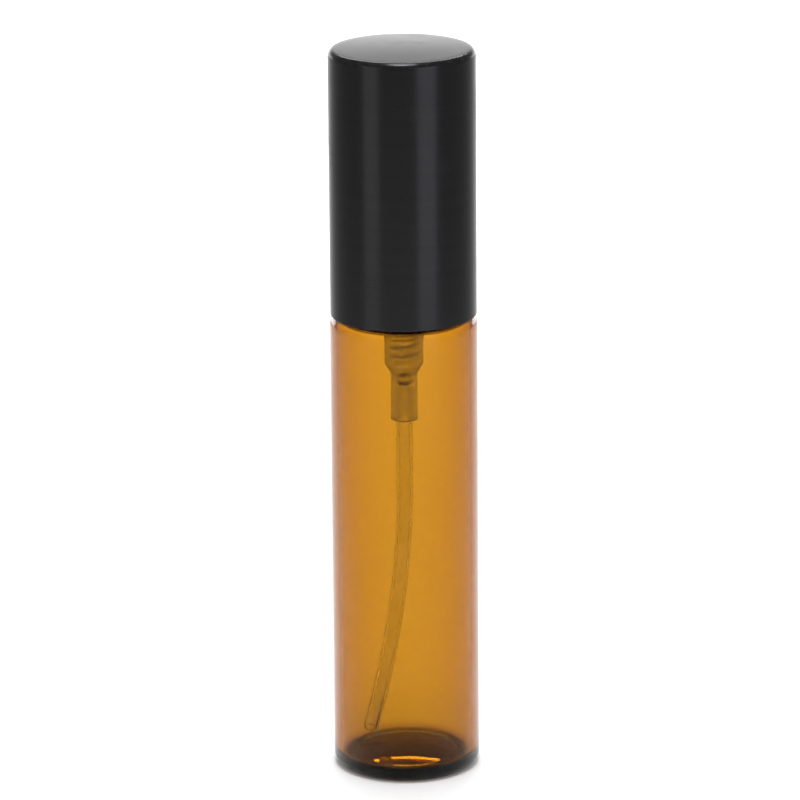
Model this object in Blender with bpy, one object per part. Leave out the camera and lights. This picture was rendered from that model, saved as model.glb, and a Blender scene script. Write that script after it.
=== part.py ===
"""A 10 ml perfume atomiser: glass tube bottle, screw-on fine-mist pump and friction-fit over-cap.

Sizes are in metres, +Z up, with the origin on the bottle's axis at the plane it stands on. The
spray leaves towards -Y. Radii are worked out from the bottle inwards (over-cap, collar, closure,
thread, neck) and from the stem outwards (seal, housing), and heights are stacked from the base up.
"""

import math

import bmesh
import bpy
from mathutils import Matrix, Vector

MM = 0.001

# Fits: the clearance between pieces that are assembled together or that slide in each other.
SEAT_GAP = 0.05 * MM          # between faces that rest on each other
PRESS_GAP = 0.02 * MM         # radial, where one piece is pushed onto another for good
SLIDE_GAP = 0.02 * MM         # radial, piston lips in the barrel and stem in its seal
TURN_GAP = 0.04 * MM          # radial, the push button's socket on the stem that it turns on
GUIDE_GAP = 0.10 * MM         # radial, the stem in its guide
GRIP_GAP = 0.05 * MM          # radial, over-cap ribs on the collar
THREAD_GAP = 0.10 * MM        # radial, crest to root of the mating threads

# Glass bottle.
BOTTLE_DIAMETER = 18.0 * MM
BODY_HEIGHT = 57.9 * MM       # standing ring to shoulder
GLASS_WALL = 1.0 * MM
FLOOR_THICKNESS = 1.5 * MM
SHOULDER_THICKNESS = 1.0 * MM
HEEL_RADIUS = 1.5 * MM
INNER_HEEL_RADIUS = 1.3 * MM
SHOULDER_RADIUS = 1.6 * MM
INNER_SHOULDER_RADIUS = 0.8 * MM
STANDING_RING = 1.2 * MM      # width of the flat ring the bottle stands on
PUSH_UP = 0.7 * MM            # height of the hollow under the base
NECK_HEIGHT = 8.1 * MM
NECK_CLEARANCE = 0.7 * MM     # radial, between the neck's bore and the pump housing

# Screw thread, shared by the neck and the closure.
THREAD_PITCH = 2.1 * MM
THREAD_DEPTH = 0.7 * MM
THREAD_TURNS = 1.5
THREAD_TOP = 1.8 * MM         # from the neck's rim down to the crest of the last turn
THREAD_ROOT_WIDTH = 1.25 * MM
THREAD_CREST_WIDTH = 0.5 * MM
CREST_FLOAT = 0.12 * MM       # radial, closure thread crest to the neck

# Over-cap.
OVERCAP_INSET = 0.1 * MM      # how far its skin stands inside the bottle's outline
OVERCAP_SKIN = 0.45 * MM
OVERCAP_EDGE_RADIUS = 0.75 * MM
OVERCAP_HEADROOM = 4.45 * MM  # over the push button
RIM_GAP = 0.3 * MM            # between the shoulder and the collar's rim
OVERCAP_DROP = 0.6 * MM       # how far the over-cap's rim reaches below the collar's, round the shoulder
LINER_WALL = 0.65 * MM
LINER_TOP = 0.9 * MM
LINER_RECESS = 0.6 * MM       # the liner's rim above the skin's rim
RIB_COUNT = 6
RIB_HEIGHT = 0.2 * MM
RIB_WIDTH = 0.5 * MM
RIB_LENGTH = 9.0 * MM
RIB_LEAD = 1.0 * MM           # from the liner's rim to the ribs

# Collar and screw closure.
COLLAR_SKIN = 0.35 * MM
COLLAR_EDGE_RADIUS = 0.6 * MM
COLLAR_LIP = 0.5 * MM         # how far the collar's top hole stands back from the closure's
CLOSURE_WALL = 0.6 * MM
CLOSURE_TOP = 1.2 * MM
CLOSURE_RECESS = 0.3 * MM     # the closure's rim above the collar's rim
TURRET_CLEARANCE = 0.15 * MM  # radial, turret in the closure's hole

# Pump housing, gasket, turret and seal.
GASKET_THICKNESS = 0.8 * MM
FLANGE_THICKNESS = 1.0 * MM
FLANGE_INSET = 0.3 * MM       # radial, flange and gasket inside the neck's outline
HOUSING_NECK_DIAMETER = 6.4 * MM
HOUSING_NECK_LENGTH = 2.7 * MM
HOUSING_CONE_LENGTH = 0.8 * MM
HOUSING_WALL = 0.5 * MM
BARREL_BORE = 3.7 * MM
BARREL_LENGTH = 13.1 * MM     # from the seal's ledge down to the spring's ledge
SEAL_POCKET_BORE = 5.2 * MM
SEAL_POCKET_DEPTH = 1.9 * MM  # below the flange's underside
SEAL_THICKNESS = 0.7 * MM
BARREL_FLOOR = 0.5 * MM       # how far the barrel's outside runs on below the spring's ledge
TAIL_CONE_LENGTH = 1.3 * MM
TAIL_WALL = 0.6 * MM
TAIL_FLARE = 0.1 * MM
TAIL_FLARE_LENGTH = 0.4 * MM
SOCKET_LENGTH = 4.0 * MM      # length of dip tube held in the housing
TURRET_RIM = 0.9 * MM         # radial, turret head past its plug
TURRET_HEIGHT = 2.7 * MM

# Inlet valve.
BALL_DIAMETER = 2.0 * MM
BALL_LIFT = 0.8 * MM
BALL_CLEARANCE = 0.15 * MM    # radial, ball in its pocket
BALL_STOP = 0.06 * MM         # ball to retaining lip at full lift
LIP_OVERLAP = 0.15 * MM       # radial, retaining lip over the ball
LIP_THICKNESS = 0.45 * MM
THROAT_DIAMETER = 1.0 * MM
THROAT_LENGTH = 0.35 * MM

# Stem, poppet, piston and spring.
STEM_DIAMETER = 2.3 * MM
STEM_BORE = 1.2 * MM
STEM_LOWER_SPAN = 2.0 * MM    # from the piston's seat up to the stem's lower end
STROKE = 4.5 * MM
PISTON_SLIP = 0.4 * MM
PISTON_HEAD = 0.1 * MM        # from the top lip, at the top of its slip, to the seal
PISTON_HEIGHT = 2.3 * MM
PISTON_WALL = 0.5 * MM
PISTON_LIP = 0.13 * MM        # thickness of the tips of the lips
PISTON_LIP_LIFT = 0.1 * MM    # lower lip's tip above the piston's foot
PISTON_WAIST = 0.2 * MM       # radial, between the lips
POPPET_PIN_DIAMETER = 1.5 * MM
POPPET_PIN_INSERT = 2.4 * MM  # length of pin held in the stem
POPPET_BORE = 0.8 * MM
POPPET_FLANGE_GAP = 0.25 * MM # radial, poppet flange in the barrel
POPPET_FLANGE_THICKNESS = 0.6 * MM
INLET_PORT_DIAMETER = 0.5 * MM
INLET_PORT_HEIGHT = 0.7 * MM  # port axis above the piston's seat
SPRING_WIRE = 0.4 * MM
SPRING_CLEARANCE = 0.2 * MM   # radial, spring in the barrel
SPRING_TURNS = 8.5
SPRING_DEAD_TURNS = 0.8       # closed coil at each end
GUIDE_PIN_CLEARANCE = 0.35 * MM
GUIDE_PIN_LENGTH = 2.5 * MM

# Push button.
HEAD_INSET = 1.2 * MM         # radial, button inside the collar
HEAD_HEIGHT = 10.3 * MM
HEAD_REST_GAP = 0.3 * MM      # button to collar at full stroke
HEAD_SKIN = 0.35 * MM
HEAD_EDGE_RADIUS = 0.7 * MM
CORE_WALL = 0.8 * MM
CORE_RECESS = 0.2 * MM        # core's rim above the skin's rim
HUB_WALL = 1.25 * MM
HUB_RECESS = 1.5 * MM
STEM_SOCKET_DEPTH = 3.8 * MM
CORE_CAVITY_DEPTH = 4.4 * MM
NOZZLE_DROP = 3.8 * MM        # spray axis below the button's top
NOZZLE_DIAMETER = 2.9 * MM
NOZZLE_LENGTH = 2.7 * MM
NOZZLE_FACE = 0.6 * MM
NOZZLE_WALL = 0.6 * MM
NOZZLE_ORIFICE = 0.4 * MM
NOZZLE_RECESS = 0.1 * MM      # nozzle's face inside the skin's outline
NOZZLE_WINDOW_GAP = 0.3 * MM  # radial, nozzle in the skin's window
CHANNEL_DIAMETER = 1.1 * MM

# Dip tube.
TUBE_DIAMETER = 2.0 * MM
TUBE_BORE = 1.2 * MM
TUBE_STRAIGHT = 8.5 * MM      # below the housing, before the bend starts
TUBE_BEND_POWER = 1.9         # 2 would be an even bend; less starts it sooner
TUBE_WALL_GAP = 0.9 * MM      # foot of the tube to the bottle's wall
TUBE_FLOOR_GAP = 0.6 * MM     # middle of the tube's cut end over the crown of the floor
TUBE_HEADING = math.radians(139.0)
SLOPE_STEP = 0.01 * MM        # over which the tube's slope is measured

# Fillets and broken edges.
EDGE_TINY = 0.05 * MM
EDGE_BREAK = 0.1 * MM
EDGE_SOFT = 0.15 * MM
EDGE_ROUND = 0.2 * MM
FILLET_SMALL = 0.3 * MM
FILLET = 0.4 * MM
FILLET_LARGE = 0.5 * MM
FILLET_WIDE = 0.6 * MM

# Facets.
WIDE_SEGMENTS = 40
NARROW_SEGMENTS = 20
SMALL_SEGMENTS = 12
FILLET_STEP = math.radians(30.0)
CHAMFERED_UNDER = 0.25 * MM   # a smaller fillet is one flat
SHARP_ANGLE = math.radians(35.0)

# Derived radii, from the bottle inwards.
bottle_r = BOTTLE_DIAMETER / 2
overcap_r = bottle_r - OVERCAP_INSET
liner_r = overcap_r - OVERCAP_SKIN - SEAT_GAP
liner_inner_r = liner_r - LINER_WALL
collar_r = liner_inner_r - RIB_HEIGHT - GRIP_GAP
closure_r = collar_r - COLLAR_SKIN - SEAT_GAP
closure_bore_r = closure_r - CLOSURE_WALL
thread_crest_r = closure_bore_r - THREAD_GAP
neck_r = thread_crest_r - THREAD_DEPTH
flange_r = neck_r - FLANGE_INSET
head_r = collar_r - HEAD_INSET
core_r = head_r - HEAD_SKIN - SEAT_GAP

# Derived radii, from the pump's middle outwards.
housing_neck_r = HOUSING_NECK_DIAMETER / 2
neck_bore_r = housing_neck_r + NECK_CLEARANCE
barrel_bore_r = BARREL_BORE / 2
barrel_r = barrel_bore_r + HOUSING_WALL
seal_pocket_r = SEAL_POCKET_BORE / 2
turret_plug_r = seal_pocket_r - SEAT_GAP
turret_r = turret_plug_r + TURRET_RIM
closure_hole_r = turret_r + TURRET_CLEARANCE
stem_r = STEM_DIAMETER / 2
ball_r = BALL_DIAMETER / 2
ball_pocket_r = ball_r + BALL_CLEARANCE
throat_r = THROAT_DIAMETER / 2
tube_r = TUBE_DIAMETER / 2
socket_r = tube_r + PRESS_GAP
tail_r = socket_r + TAIL_WALL
poppet_pin_r = POPPET_PIN_DIAMETER / 2
nozzle_r = NOZZLE_DIAMETER / 2

# Heights on the bottle, then each sub-assembly's datum height above its parent's.
neck_top = BODY_HEIGHT + NECK_HEIGHT
pump_datum = neck_top + GASKET_THICKNESS + 2 * SEAT_GAP          # underside of the housing's flange
collar_datum = FLANGE_THICKNESS + SEAT_GAP                       # underside of the closure's top
collar_skirt = pump_datum + collar_datum - BODY_HEIGHT - RIM_GAP # datum down to the collar's rim
collar_top = CLOSURE_TOP + SEAT_GAP + COLLAR_SKIN
seal_ledge = -SEAL_POCKET_DEPTH
spring_ledge = seal_ledge - BARREL_LENGTH
piston_top = seal_ledge + SEAT_GAP - PISTON_HEAD - PISTON_SLIP
stem_datum = piston_top - PISTON_HEIGHT                          # the piston's seat on the poppet
head_datum = collar_datum + collar_top + HEAD_REST_GAP + STROKE - stem_datum
overcap_top = pump_datum + stem_datum + head_datum + HEAD_HEIGHT + OVERCAP_HEADROOM
overcap_datum = -collar_skirt - OVERCAP_DROP                     # the over-cap's rim
liner_top = overcap_top - BODY_HEIGHT - RIM_GAP + OVERCAP_DROP   # rim up to the liner's ceiling


def clear_scene():
    for old in list(bpy.data.objects):
        bpy.data.objects.remove(old, do_unlink=True)


def plain_material(name, colour, roughness, metallic=0.0, transmission=0.0, ior=1.45):
    material = bpy.data.materials.new(name)
    material.use_nodes = True
    shader = material.node_tree.nodes["Principled BSDF"]
    shader.inputs["Base Color"].default_value = (*colour, 1.0)
    shader.inputs["Roughness"].default_value = roughness
    shader.inputs["Metallic"].default_value = metallic
    shader.inputs["Transmission Weight"].default_value = transmission
    shader.inputs["IOR"].default_value = ior
    return material


def datum(name, height, parent=None):
    """An empty on the bottle's axis that a sub-assembly hangs from."""
    empty = bpy.data.objects.new(name, None)
    bpy.context.scene.collection.objects.link(empty)
    empty.parent = parent
    empty.location = (0.0, 0.0, height)
    return empty


def piece(name, bm, material=None, parent=None, location=(0.0, 0.0, 0.0), tilt=0.0):
    """An object from a bmesh. A piece with no material is a helper for a Boolean."""
    bmesh.ops.recalc_face_normals(bm, faces=bm.faces)
    mesh = bpy.data.meshes.new(name)
    bm.to_mesh(mesh)
    bm.free()
    mesh.shade_smooth()
    mesh.set_sharp_from_angle(angle=SHARP_ANGLE)
    obj = bpy.data.objects.new(name, mesh)
    bpy.context.scene.collection.objects.link(obj)
    obj.parent = parent
    obj.location = location
    obj.rotation_euler = (tilt, 0.0, 0.0)
    if material:
        mesh.materials.append(material)
    else:
        obj.hide_render = True
        obj.display_type = "WIRE"
    return obj


def combine(target, helper, operation):
    """Adds a Boolean with a helper object, which shares the target's parent."""
    modifier = target.modifiers.new(helper.name, "BOOLEAN")
    modifier.operation = operation
    modifier.solver = "EXACT"
    modifier.object = helper


def outline(corners):
    """Outline points from corners (radius, height, fillet). A fillet is limited by its edges."""
    points = []
    for i, (x, z, fillet) in enumerate(corners):
        corner = Vector((x, z))
        if not fillet:
            points.append(corner)
            continue
        back = Vector(corners[i - 1][:2]) - corner
        ahead = Vector(corners[(i + 1) % len(corners)][:2]) - corner
        half = back.angle(ahead) / 2
        reach = min(fillet / math.tan(half), 0.49 * back.length, 0.49 * ahead.length)
        radius = reach * math.tan(half)
        centre = corner + (back.normalized() + ahead.normalized()).normalized() * radius / math.sin(half)
        first = corner + back.normalized() * reach - centre
        last = corner + ahead.normalized() * reach - centre
        turn = first.angle(last)
        steps = 1 if radius < CHAMFERED_UNDER else max(2, round(turn / FILLET_STEP))
        for k in range(steps + 1):
            a = turn * k / steps
            arm = (first * math.sin(turn - a) + last * math.sin(a)) / math.sin(turn)
            points.append(centre + arm)
    return points


def dome(radius, height, base, steps=4):
    """Outline of a shallow dome from its edge to the axis, at base height on its edge."""
    return [
        (radius * (1 - k / steps), base + height * (1 - (1 - k / steps) ** 2), 0)
        for k in range(1, steps + 1)
    ]


def turned(corners, segments):
    """A solid of revolution from a closed outline."""
    bm = bmesh.new()
    rings = []
    for x, z in outline(corners):
        if x < 1e-9:
            rings.append([bm.verts.new((0.0, 0.0, z))])
            continue
        turn = [math.tau * k / segments for k in range(segments)]
        rings.append([bm.verts.new((x * math.cos(a), x * math.sin(a), z)) for a in turn])
    for low, high in zip(rings, rings[1:] + rings[:1]):
        if len(low) == len(high) == 1:
            continue
        for k in range(segments):
            below = [low[k % len(low)], low[(k + 1) % len(low)]]
            above = [high[(k + 1) % len(high)], high[k % len(high)]]
            bm.faces.new(list(dict.fromkeys(below + above)))
    return bm


def swept(sections):
    """A closed solid through a row of loops with the same number of points."""
    bm = bmesh.new()
    loops = [[bm.verts.new(point) for point in section] for section in sections]
    for low, high in zip(loops, loops[1:]):
        for k in range(len(low)):
            following = (k + 1) % len(low)
            bm.faces.new((low[k], low[following], high[following], high[k]))
    bm.faces.new(loops[0])
    bm.faces.new(reversed(loops[-1]))
    return bm


def thread_ridge(wall_r, crest_r, lowest):
    """A right-hand helical ridge that stands out of a wall towards crest_r and fades in at its ends."""
    per_turn = 24
    fade_steps = 3
    steps = round(THREAD_TURNS * per_turn)
    sunk_r = wall_r - (crest_r - wall_r) * 0.4
    sections = []
    for i in range(steps + 1):
        angle = math.tau * i / per_turn
        height = lowest + THREAD_PITCH * i / per_turn
        fade = min(1.0, i / fade_steps, (steps - i) / fade_steps)
        top_r = sunk_r + (crest_r - sunk_r) * (0.2 + 0.8 * fade)
        side = Vector((math.cos(angle), math.sin(angle), 0.0))
        rise = Vector((0.0, 0.0, 1.0))
        middle = rise * height
        sections.append(
            (
                middle + side * sunk_r - rise * THREAD_ROOT_WIDTH / 2,
                middle + side * top_r - rise * THREAD_CREST_WIDTH / 2,
                middle + side * top_r + rise * THREAD_CREST_WIDTH / 2,
                middle + side * sunk_r + rise * THREAD_ROOT_WIDTH / 2,
            )
        )
    return swept(sections)


def glass_bottle(material):
    inner_r = bottle_r - GLASS_WALL
    ceiling = BODY_HEIGHT - SHOULDER_THICKNESS
    ring_inner_r = bottle_r - HEEL_RADIUS - STANDING_RING
    floor_r = inner_r - INNER_HEEL_RADIUS
    under = list(reversed(dome(ring_inner_r, PUSH_UP, 0.0)))
    inside = dome(floor_r, PUSH_UP, FLOOR_THICKNESS)
    body = piece(
        "glass_bottle",
        turned(
            under
            + [
                (ring_inner_r, 0.0, 0),
                (bottle_r, 0.0, HEEL_RADIUS),
                (bottle_r, BODY_HEIGHT, SHOULDER_RADIUS),
                (neck_r, BODY_HEIGHT, FILLET_LARGE),
                (neck_r, neck_top, FILLET),
                (neck_bore_r, neck_top, FILLET_SMALL),
                (neck_bore_r, ceiling, FILLET_WIDE),
                (inner_r, ceiling, INNER_SHOULDER_RADIUS),
                (inner_r, FLOOR_THICKNESS, INNER_HEEL_RADIUS),
                (floor_r, FLOOR_THICKNESS, 0),
            ]
            + inside,
            WIDE_SEGMENTS,
        ),
        material,
    )
    lowest = neck_top - THREAD_TOP - THREAD_TURNS * THREAD_PITCH
    ridge = piece("neck_thread", thread_ridge(neck_r, thread_crest_r, lowest))
    combine(body, ridge, "UNION")


def screw_closure(material, collar):
    rim = -collar_skirt + CLOSURE_RECESS
    closure = piece(
        "screw_closure",
        turned(
            [
                (closure_r, CLOSURE_TOP, FILLET),
                (closure_hole_r, CLOSURE_TOP, 0),
                (closure_hole_r, 0.0, 0),
                (closure_bore_r, 0.0, FILLET_SMALL),
                (closure_bore_r, rim, EDGE_BREAK),
                (closure_r, rim, EDGE_BREAK),
            ],
            WIDE_SEGMENTS,
        ),
        material,
        collar,
    )
    # Half a pitch under the neck's thread, so that tightening bears on the neck thread's underside.
    neck_lowest = neck_top - THREAD_TOP - THREAD_TURNS * THREAD_PITCH
    lowest = neck_lowest - THREAD_PITCH / 2 - pump_datum - collar_datum
    bm = thread_ridge(closure_bore_r, neck_r + CREST_FLOAT, lowest)
    ridge = piece("closure_thread", bm, parent=collar)
    combine(closure, ridge, "UNION")


def collar_sleeve(material, collar):
    hole_r = closure_hole_r + COLLAR_LIP
    inner_r = collar_r - COLLAR_SKIN
    inner_top = collar_top - COLLAR_SKIN
    piece(
        "collar_sleeve",
        turned(
            [
                (collar_r, collar_top, COLLAR_EDGE_RADIUS),
                (hole_r, collar_top, EDGE_BREAK),
                (hole_r, inner_top, EDGE_BREAK),
                (inner_r, inner_top, COLLAR_EDGE_RADIUS - COLLAR_SKIN),
                (inner_r, -collar_skirt, EDGE_BREAK),
                (collar_r, -collar_skirt, EDGE_BREAK),
            ],
            WIDE_SEGMENTS,
        ),
        material,
        collar,
    )


def neck_gasket(material, pump):
    hole_r = housing_neck_r + GUIDE_GAP
    high = -SEAT_GAP
    low = high - GASKET_THICKNESS
    corners = [(flange_r, high, 0), (hole_r, high, 0), (hole_r, low, 0), (flange_r, low, 0)]
    piece("neck_gasket", turned(corners, WIDE_SEGMENTS), material, pump)


def ball_seat_height():
    """Ball centre above the spring's ledge when it rests on its cone, with the datum's sign."""
    return spring_ledge - LIP_THICKNESS - BALL_STOP - ball_r - BALL_LIFT


def pump_housing(material, pump):
    lip_r = ball_r - LIP_OVERLAP
    pocket_top = spring_ledge - LIP_THICKNESS
    # A 45 degree cone that the ball touches, less the seat's gap, at 0.707 of its radius.
    contact = ball_r * math.sin(math.radians(45.0))
    cone_foot = ball_seat_height() - SEAT_GAP - contact - (contact - throat_r)
    cone_top = cone_foot + ball_pocket_r - throat_r
    socket_top = cone_foot - THROAT_LENGTH
    foot = socket_top - SOCKET_LENGTH
    barrel_foot = spring_ledge - BARREL_FLOOR
    piece(
        "pump_housing",
        turned(
            [
                (flange_r, FLANGE_THICKNESS, EDGE_SOFT),
                (seal_pocket_r, FLANGE_THICKNESS, EDGE_BREAK),
                (seal_pocket_r, seal_ledge, 0),
                (barrel_bore_r, seal_ledge, EDGE_TINY),
                (barrel_bore_r, spring_ledge, 0),
                (lip_r, spring_ledge, EDGE_BREAK),
                (lip_r, pocket_top, EDGE_BREAK),
                (ball_pocket_r, pocket_top, 0),
                (ball_pocket_r, cone_top, 0),
                (throat_r, cone_foot, 0),
                (throat_r, socket_top, 0),
                (socket_r, socket_top, 0),
                (socket_r, foot, EDGE_BREAK),
                (tail_r + TAIL_FLARE, foot, EDGE_SOFT),
                (tail_r, foot + TAIL_FLARE_LENGTH, 0),
                (tail_r, barrel_foot - TAIL_CONE_LENGTH, FILLET),
                (barrel_r, barrel_foot, FILLET),
                (barrel_r, -HOUSING_NECK_LENGTH - HOUSING_CONE_LENGTH, FILLET_SMALL),
                (housing_neck_r, -HOUSING_NECK_LENGTH, FILLET_SMALL),
                (housing_neck_r, 0.0, EDGE_SOFT),
                (flange_r, 0.0, EDGE_SOFT),
            ],
            NARROW_SEGMENTS,
        ),
        material,
        pump,
    )
    return foot


def housing_turret(material, pump):
    plug_foot = seal_ledge + 2 * SEAT_GAP + SEAL_THICKNESS
    head_foot = FLANGE_THICKNESS + SEAT_GAP
    head_top = head_foot + TURRET_HEIGHT
    hole_r = stem_r + GUIDE_GAP
    piece(
        "housing_turret",
        turned(
            [
                (turret_r, head_top, FILLET_LARGE),
                (hole_r, head_top, EDGE_ROUND),
                (hole_r, plug_foot, EDGE_BREAK),
                (turret_plug_r, plug_foot, EDGE_SOFT),
                (turret_plug_r, head_foot, 0),
                (turret_r, head_foot, 0),
            ],
            NARROW_SEGMENTS,
        ),
        material,
        pump,
    )


def stem_seal(material, pump):
    low = seal_ledge + SEAT_GAP
    high = low + SEAL_THICKNESS
    hole_r = stem_r + SLIDE_GAP
    outer_r = seal_pocket_r - SEAT_GAP
    corners = [(outer_r, high, 0), (hole_r, high, EDGE_SOFT), (hole_r, low, EDGE_SOFT), (outer_r, low, 0)]
    piece("stem_seal", turned(corners, NARROW_SEGMENTS), material, pump)


def check_ball(material, pump):
    bm = bmesh.new()
    bmesh.ops.create_icosphere(bm, subdivisions=3, radius=ball_r)
    piece("check_ball", bm, material, pump, (0.0, 0.0, ball_seat_height()))


def pump_stem(material, stem):
    top = head_datum + HUB_RECESS + STEM_SOCKET_DEPTH - SEAT_GAP
    socket_top = STEM_LOWER_SPAN + POPPET_PIN_INSERT + SEAT_GAP
    pin_socket_r = poppet_pin_r + PRESS_GAP
    piece(
        "pump_stem",
        turned(
            [
                (stem_r, top, EDGE_SOFT),
                (STEM_BORE / 2, top, EDGE_BREAK),
                (STEM_BORE / 2, socket_top, 0),
                (pin_socket_r, socket_top, 0),
                (pin_socket_r, STEM_LOWER_SPAN, 0),
                (stem_r, STEM_LOWER_SPAN, EDGE_TINY),
            ],
            NARROW_SEGMENTS,
        ),
        material,
        stem,
    )


def spring_mean_radius():
    return barrel_bore_r - SPRING_CLEARANCE - SPRING_WIRE / 2


def stem_poppet(material, stem):
    flange_r = barrel_bore_r - POPPET_FLANGE_GAP
    pin_top = STEM_LOWER_SPAN + POPPET_PIN_INSERT
    bore_foot = INLET_PORT_HEIGHT - INLET_PORT_DIAMETER
    guide_r = spring_mean_radius() - SPRING_WIRE / 2 - GUIDE_PIN_CLEARANCE
    underside = -POPPET_FLANGE_THICKNESS
    poppet = piece(
        "stem_poppet",
        turned(
            [
                (poppet_pin_r, pin_top, EDGE_BREAK),
                (POPPET_BORE / 2, pin_top, 0),
                (POPPET_BORE / 2, bore_foot, 0),
                (0.0, bore_foot, 0),
                (0.0, underside - GUIDE_PIN_LENGTH, 0),
                (guide_r, underside - GUIDE_PIN_LENGTH, EDGE_ROUND),
                (guide_r, underside, 0),
                (flange_r, underside, EDGE_BREAK),
                (flange_r, 0.0, EDGE_BREAK),
                (poppet_pin_r, 0.0, 0),
            ],
            NARROW_SEGMENTS,
        ),
        material,
        stem,
    )
    reach = poppet_pin_r * 2
    port_r = INLET_PORT_DIAMETER / 2
    corners = [(port_r, reach, 0), (0.0, reach, 0), (0.0, -reach, 0), (port_r, -reach, 0)]
    spot = (0.0, 0.0, INLET_PORT_HEIGHT)
    port = piece("inlet_ports", turned(corners, SMALL_SEGMENTS), None, stem, spot, math.pi / 2)
    combine(poppet, port, "DIFFERENCE")


def piston(material, stem):
    bore_r = poppet_pin_r + SEAT_GAP
    lip_r = barrel_bore_r - SLIDE_GAP
    waist_r = lip_r - PISTON_WAIST
    cup_r = stem_r + GUIDE_GAP
    hub_r = bore_r + PISTON_WALL
    hub_top = STEM_LOWER_SPAN - PISTON_SLIP - SEAT_GAP
    foot = SEAT_GAP
    lower_lip = foot + PISTON_LIP_LIFT
    piece(
        "piston",
        turned(
            [
                (lip_r, PISTON_HEIGHT - PISTON_LIP, 0),
                (lip_r - PISTON_LIP, PISTON_HEIGHT, 0),
                (cup_r, hub_top, 0),
                (bore_r, hub_top, EDGE_TINY),
                (bore_r, foot, EDGE_TINY),
                (hub_r, foot, EDGE_TINY),
                (hub_r, foot + PISTON_WALL, 0),
                (lip_r - PISTON_LIP, lower_lip, 0),
                (lip_r, lower_lip + PISTON_LIP, 0),
                (waist_r, lower_lip + PISTON_WALL, 0),
                (waist_r, PISTON_HEIGHT - PISTON_LIP - PISTON_WALL, 0),
            ],
            NARROW_SEGMENTS,
        ),
        material,
        stem,
    )


def return_spring(material, pump):
    """Closed at both ends, from the barrel's ledge up to the poppet's underside."""
    low = spring_ledge + SEAT_GAP + SPRING_WIRE / 2
    high = stem_datum - POPPET_FLANGE_THICKNESS - SEAT_GAP - SPRING_WIRE / 2
    mean_r = spring_mean_radius()
    dead_rise = SPRING_DEAD_TURNS * SPRING_WIRE * 1.1
    live_turns = SPRING_TURNS - 2 * SPRING_DEAD_TURNS
    per_turn = 12
    sides = 5
    steps = round(SPRING_TURNS * per_turn)
    sections = []
    for i in range(steps + 1):
        turn = i / per_turn
        live = min(max((turn - SPRING_DEAD_TURNS) / live_turns, 0.0), 1.0)
        dead = min(turn, SPRING_DEAD_TURNS) + max(turn - SPRING_TURNS + SPRING_DEAD_TURNS, 0.0)
        height = low + dead_rise * dead / SPRING_DEAD_TURNS + (high - low - 2 * dead_rise) * live
        angle = math.tau * turn
        side = Vector((math.cos(angle), math.sin(angle), 0.0))
        centre = side * mean_r + Vector((0.0, 0.0, height))
        across = side * SPRING_WIRE / 2
        rise = Vector((0.0, 0.0, SPRING_WIRE / 2))
        ring = [math.tau * k / sides for k in range(sides)]
        sections.append([centre + across * math.cos(a) + rise * math.sin(a) for a in ring])
    piece("return_spring", swept(sections), material, pump)


def dip_tube(material, pump, housing_foot):
    """Straight out of the housing, then curling to the wall, cut off just over the floor."""
    top = housing_foot + SOCKET_LENGTH - SEAT_GAP
    floor = FLOOR_THICKNESS - pump_datum
    foot = floor + PUSH_UP + TUBE_FLOOR_GAP
    bend_top = housing_foot - TUBE_STRAIGHT
    reach = bottle_r - GLASS_WALL - TUBE_WALL_GAP - tube_r
    heading = Vector((math.cos(TUBE_HEADING), math.sin(TUBE_HEADING), 0.0))
    across = Vector((-heading.y, heading.x, 0.0))
    steps = 14
    heights = [top, housing_foot] + [bend_top + (foot - bend_top) * k / steps for k in range(steps + 1)]

    def swing(height):
        return reach * max((bend_top - height) / (bend_top - foot), 0.0) ** TUBE_BEND_POWER

    def rings(radius):
        for height in heights:
            slope = (swing(height - SLOPE_STEP) - swing(height)) / SLOPE_STEP
            axis = (heading * slope - Vector((0.0, 0.0, 1.0))).normalized()
            out = axis.cross(across)
            centre = heading * swing(height) + Vector((0.0, 0.0, height))
            turn = [math.tau * k / SMALL_SEGMENTS for k in range(SMALL_SEGMENTS)]
            yield [centre + (across * math.cos(a) + out * math.sin(a)) * radius for a in turn]

    bm = bmesh.new()
    outside = [[bm.verts.new(point) for point in ring] for ring in rings(tube_r)]
    inside = [[bm.verts.new(point) for point in ring] for ring in rings(TUBE_BORE / 2)]
    loops = outside + inside[::-1]
    for low, high in zip(loops, loops[1:] + loops[:1]):
        for k in range(SMALL_SEGMENTS):
            following = (k + 1) % SMALL_SEGMENTS
            bm.faces.new((low[k], low[following], high[following], high[k]))
    piece("dip_tube", bm, material, pump)


def nozzle_height():
    return HEAD_HEIGHT - NOZZLE_DROP


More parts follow.
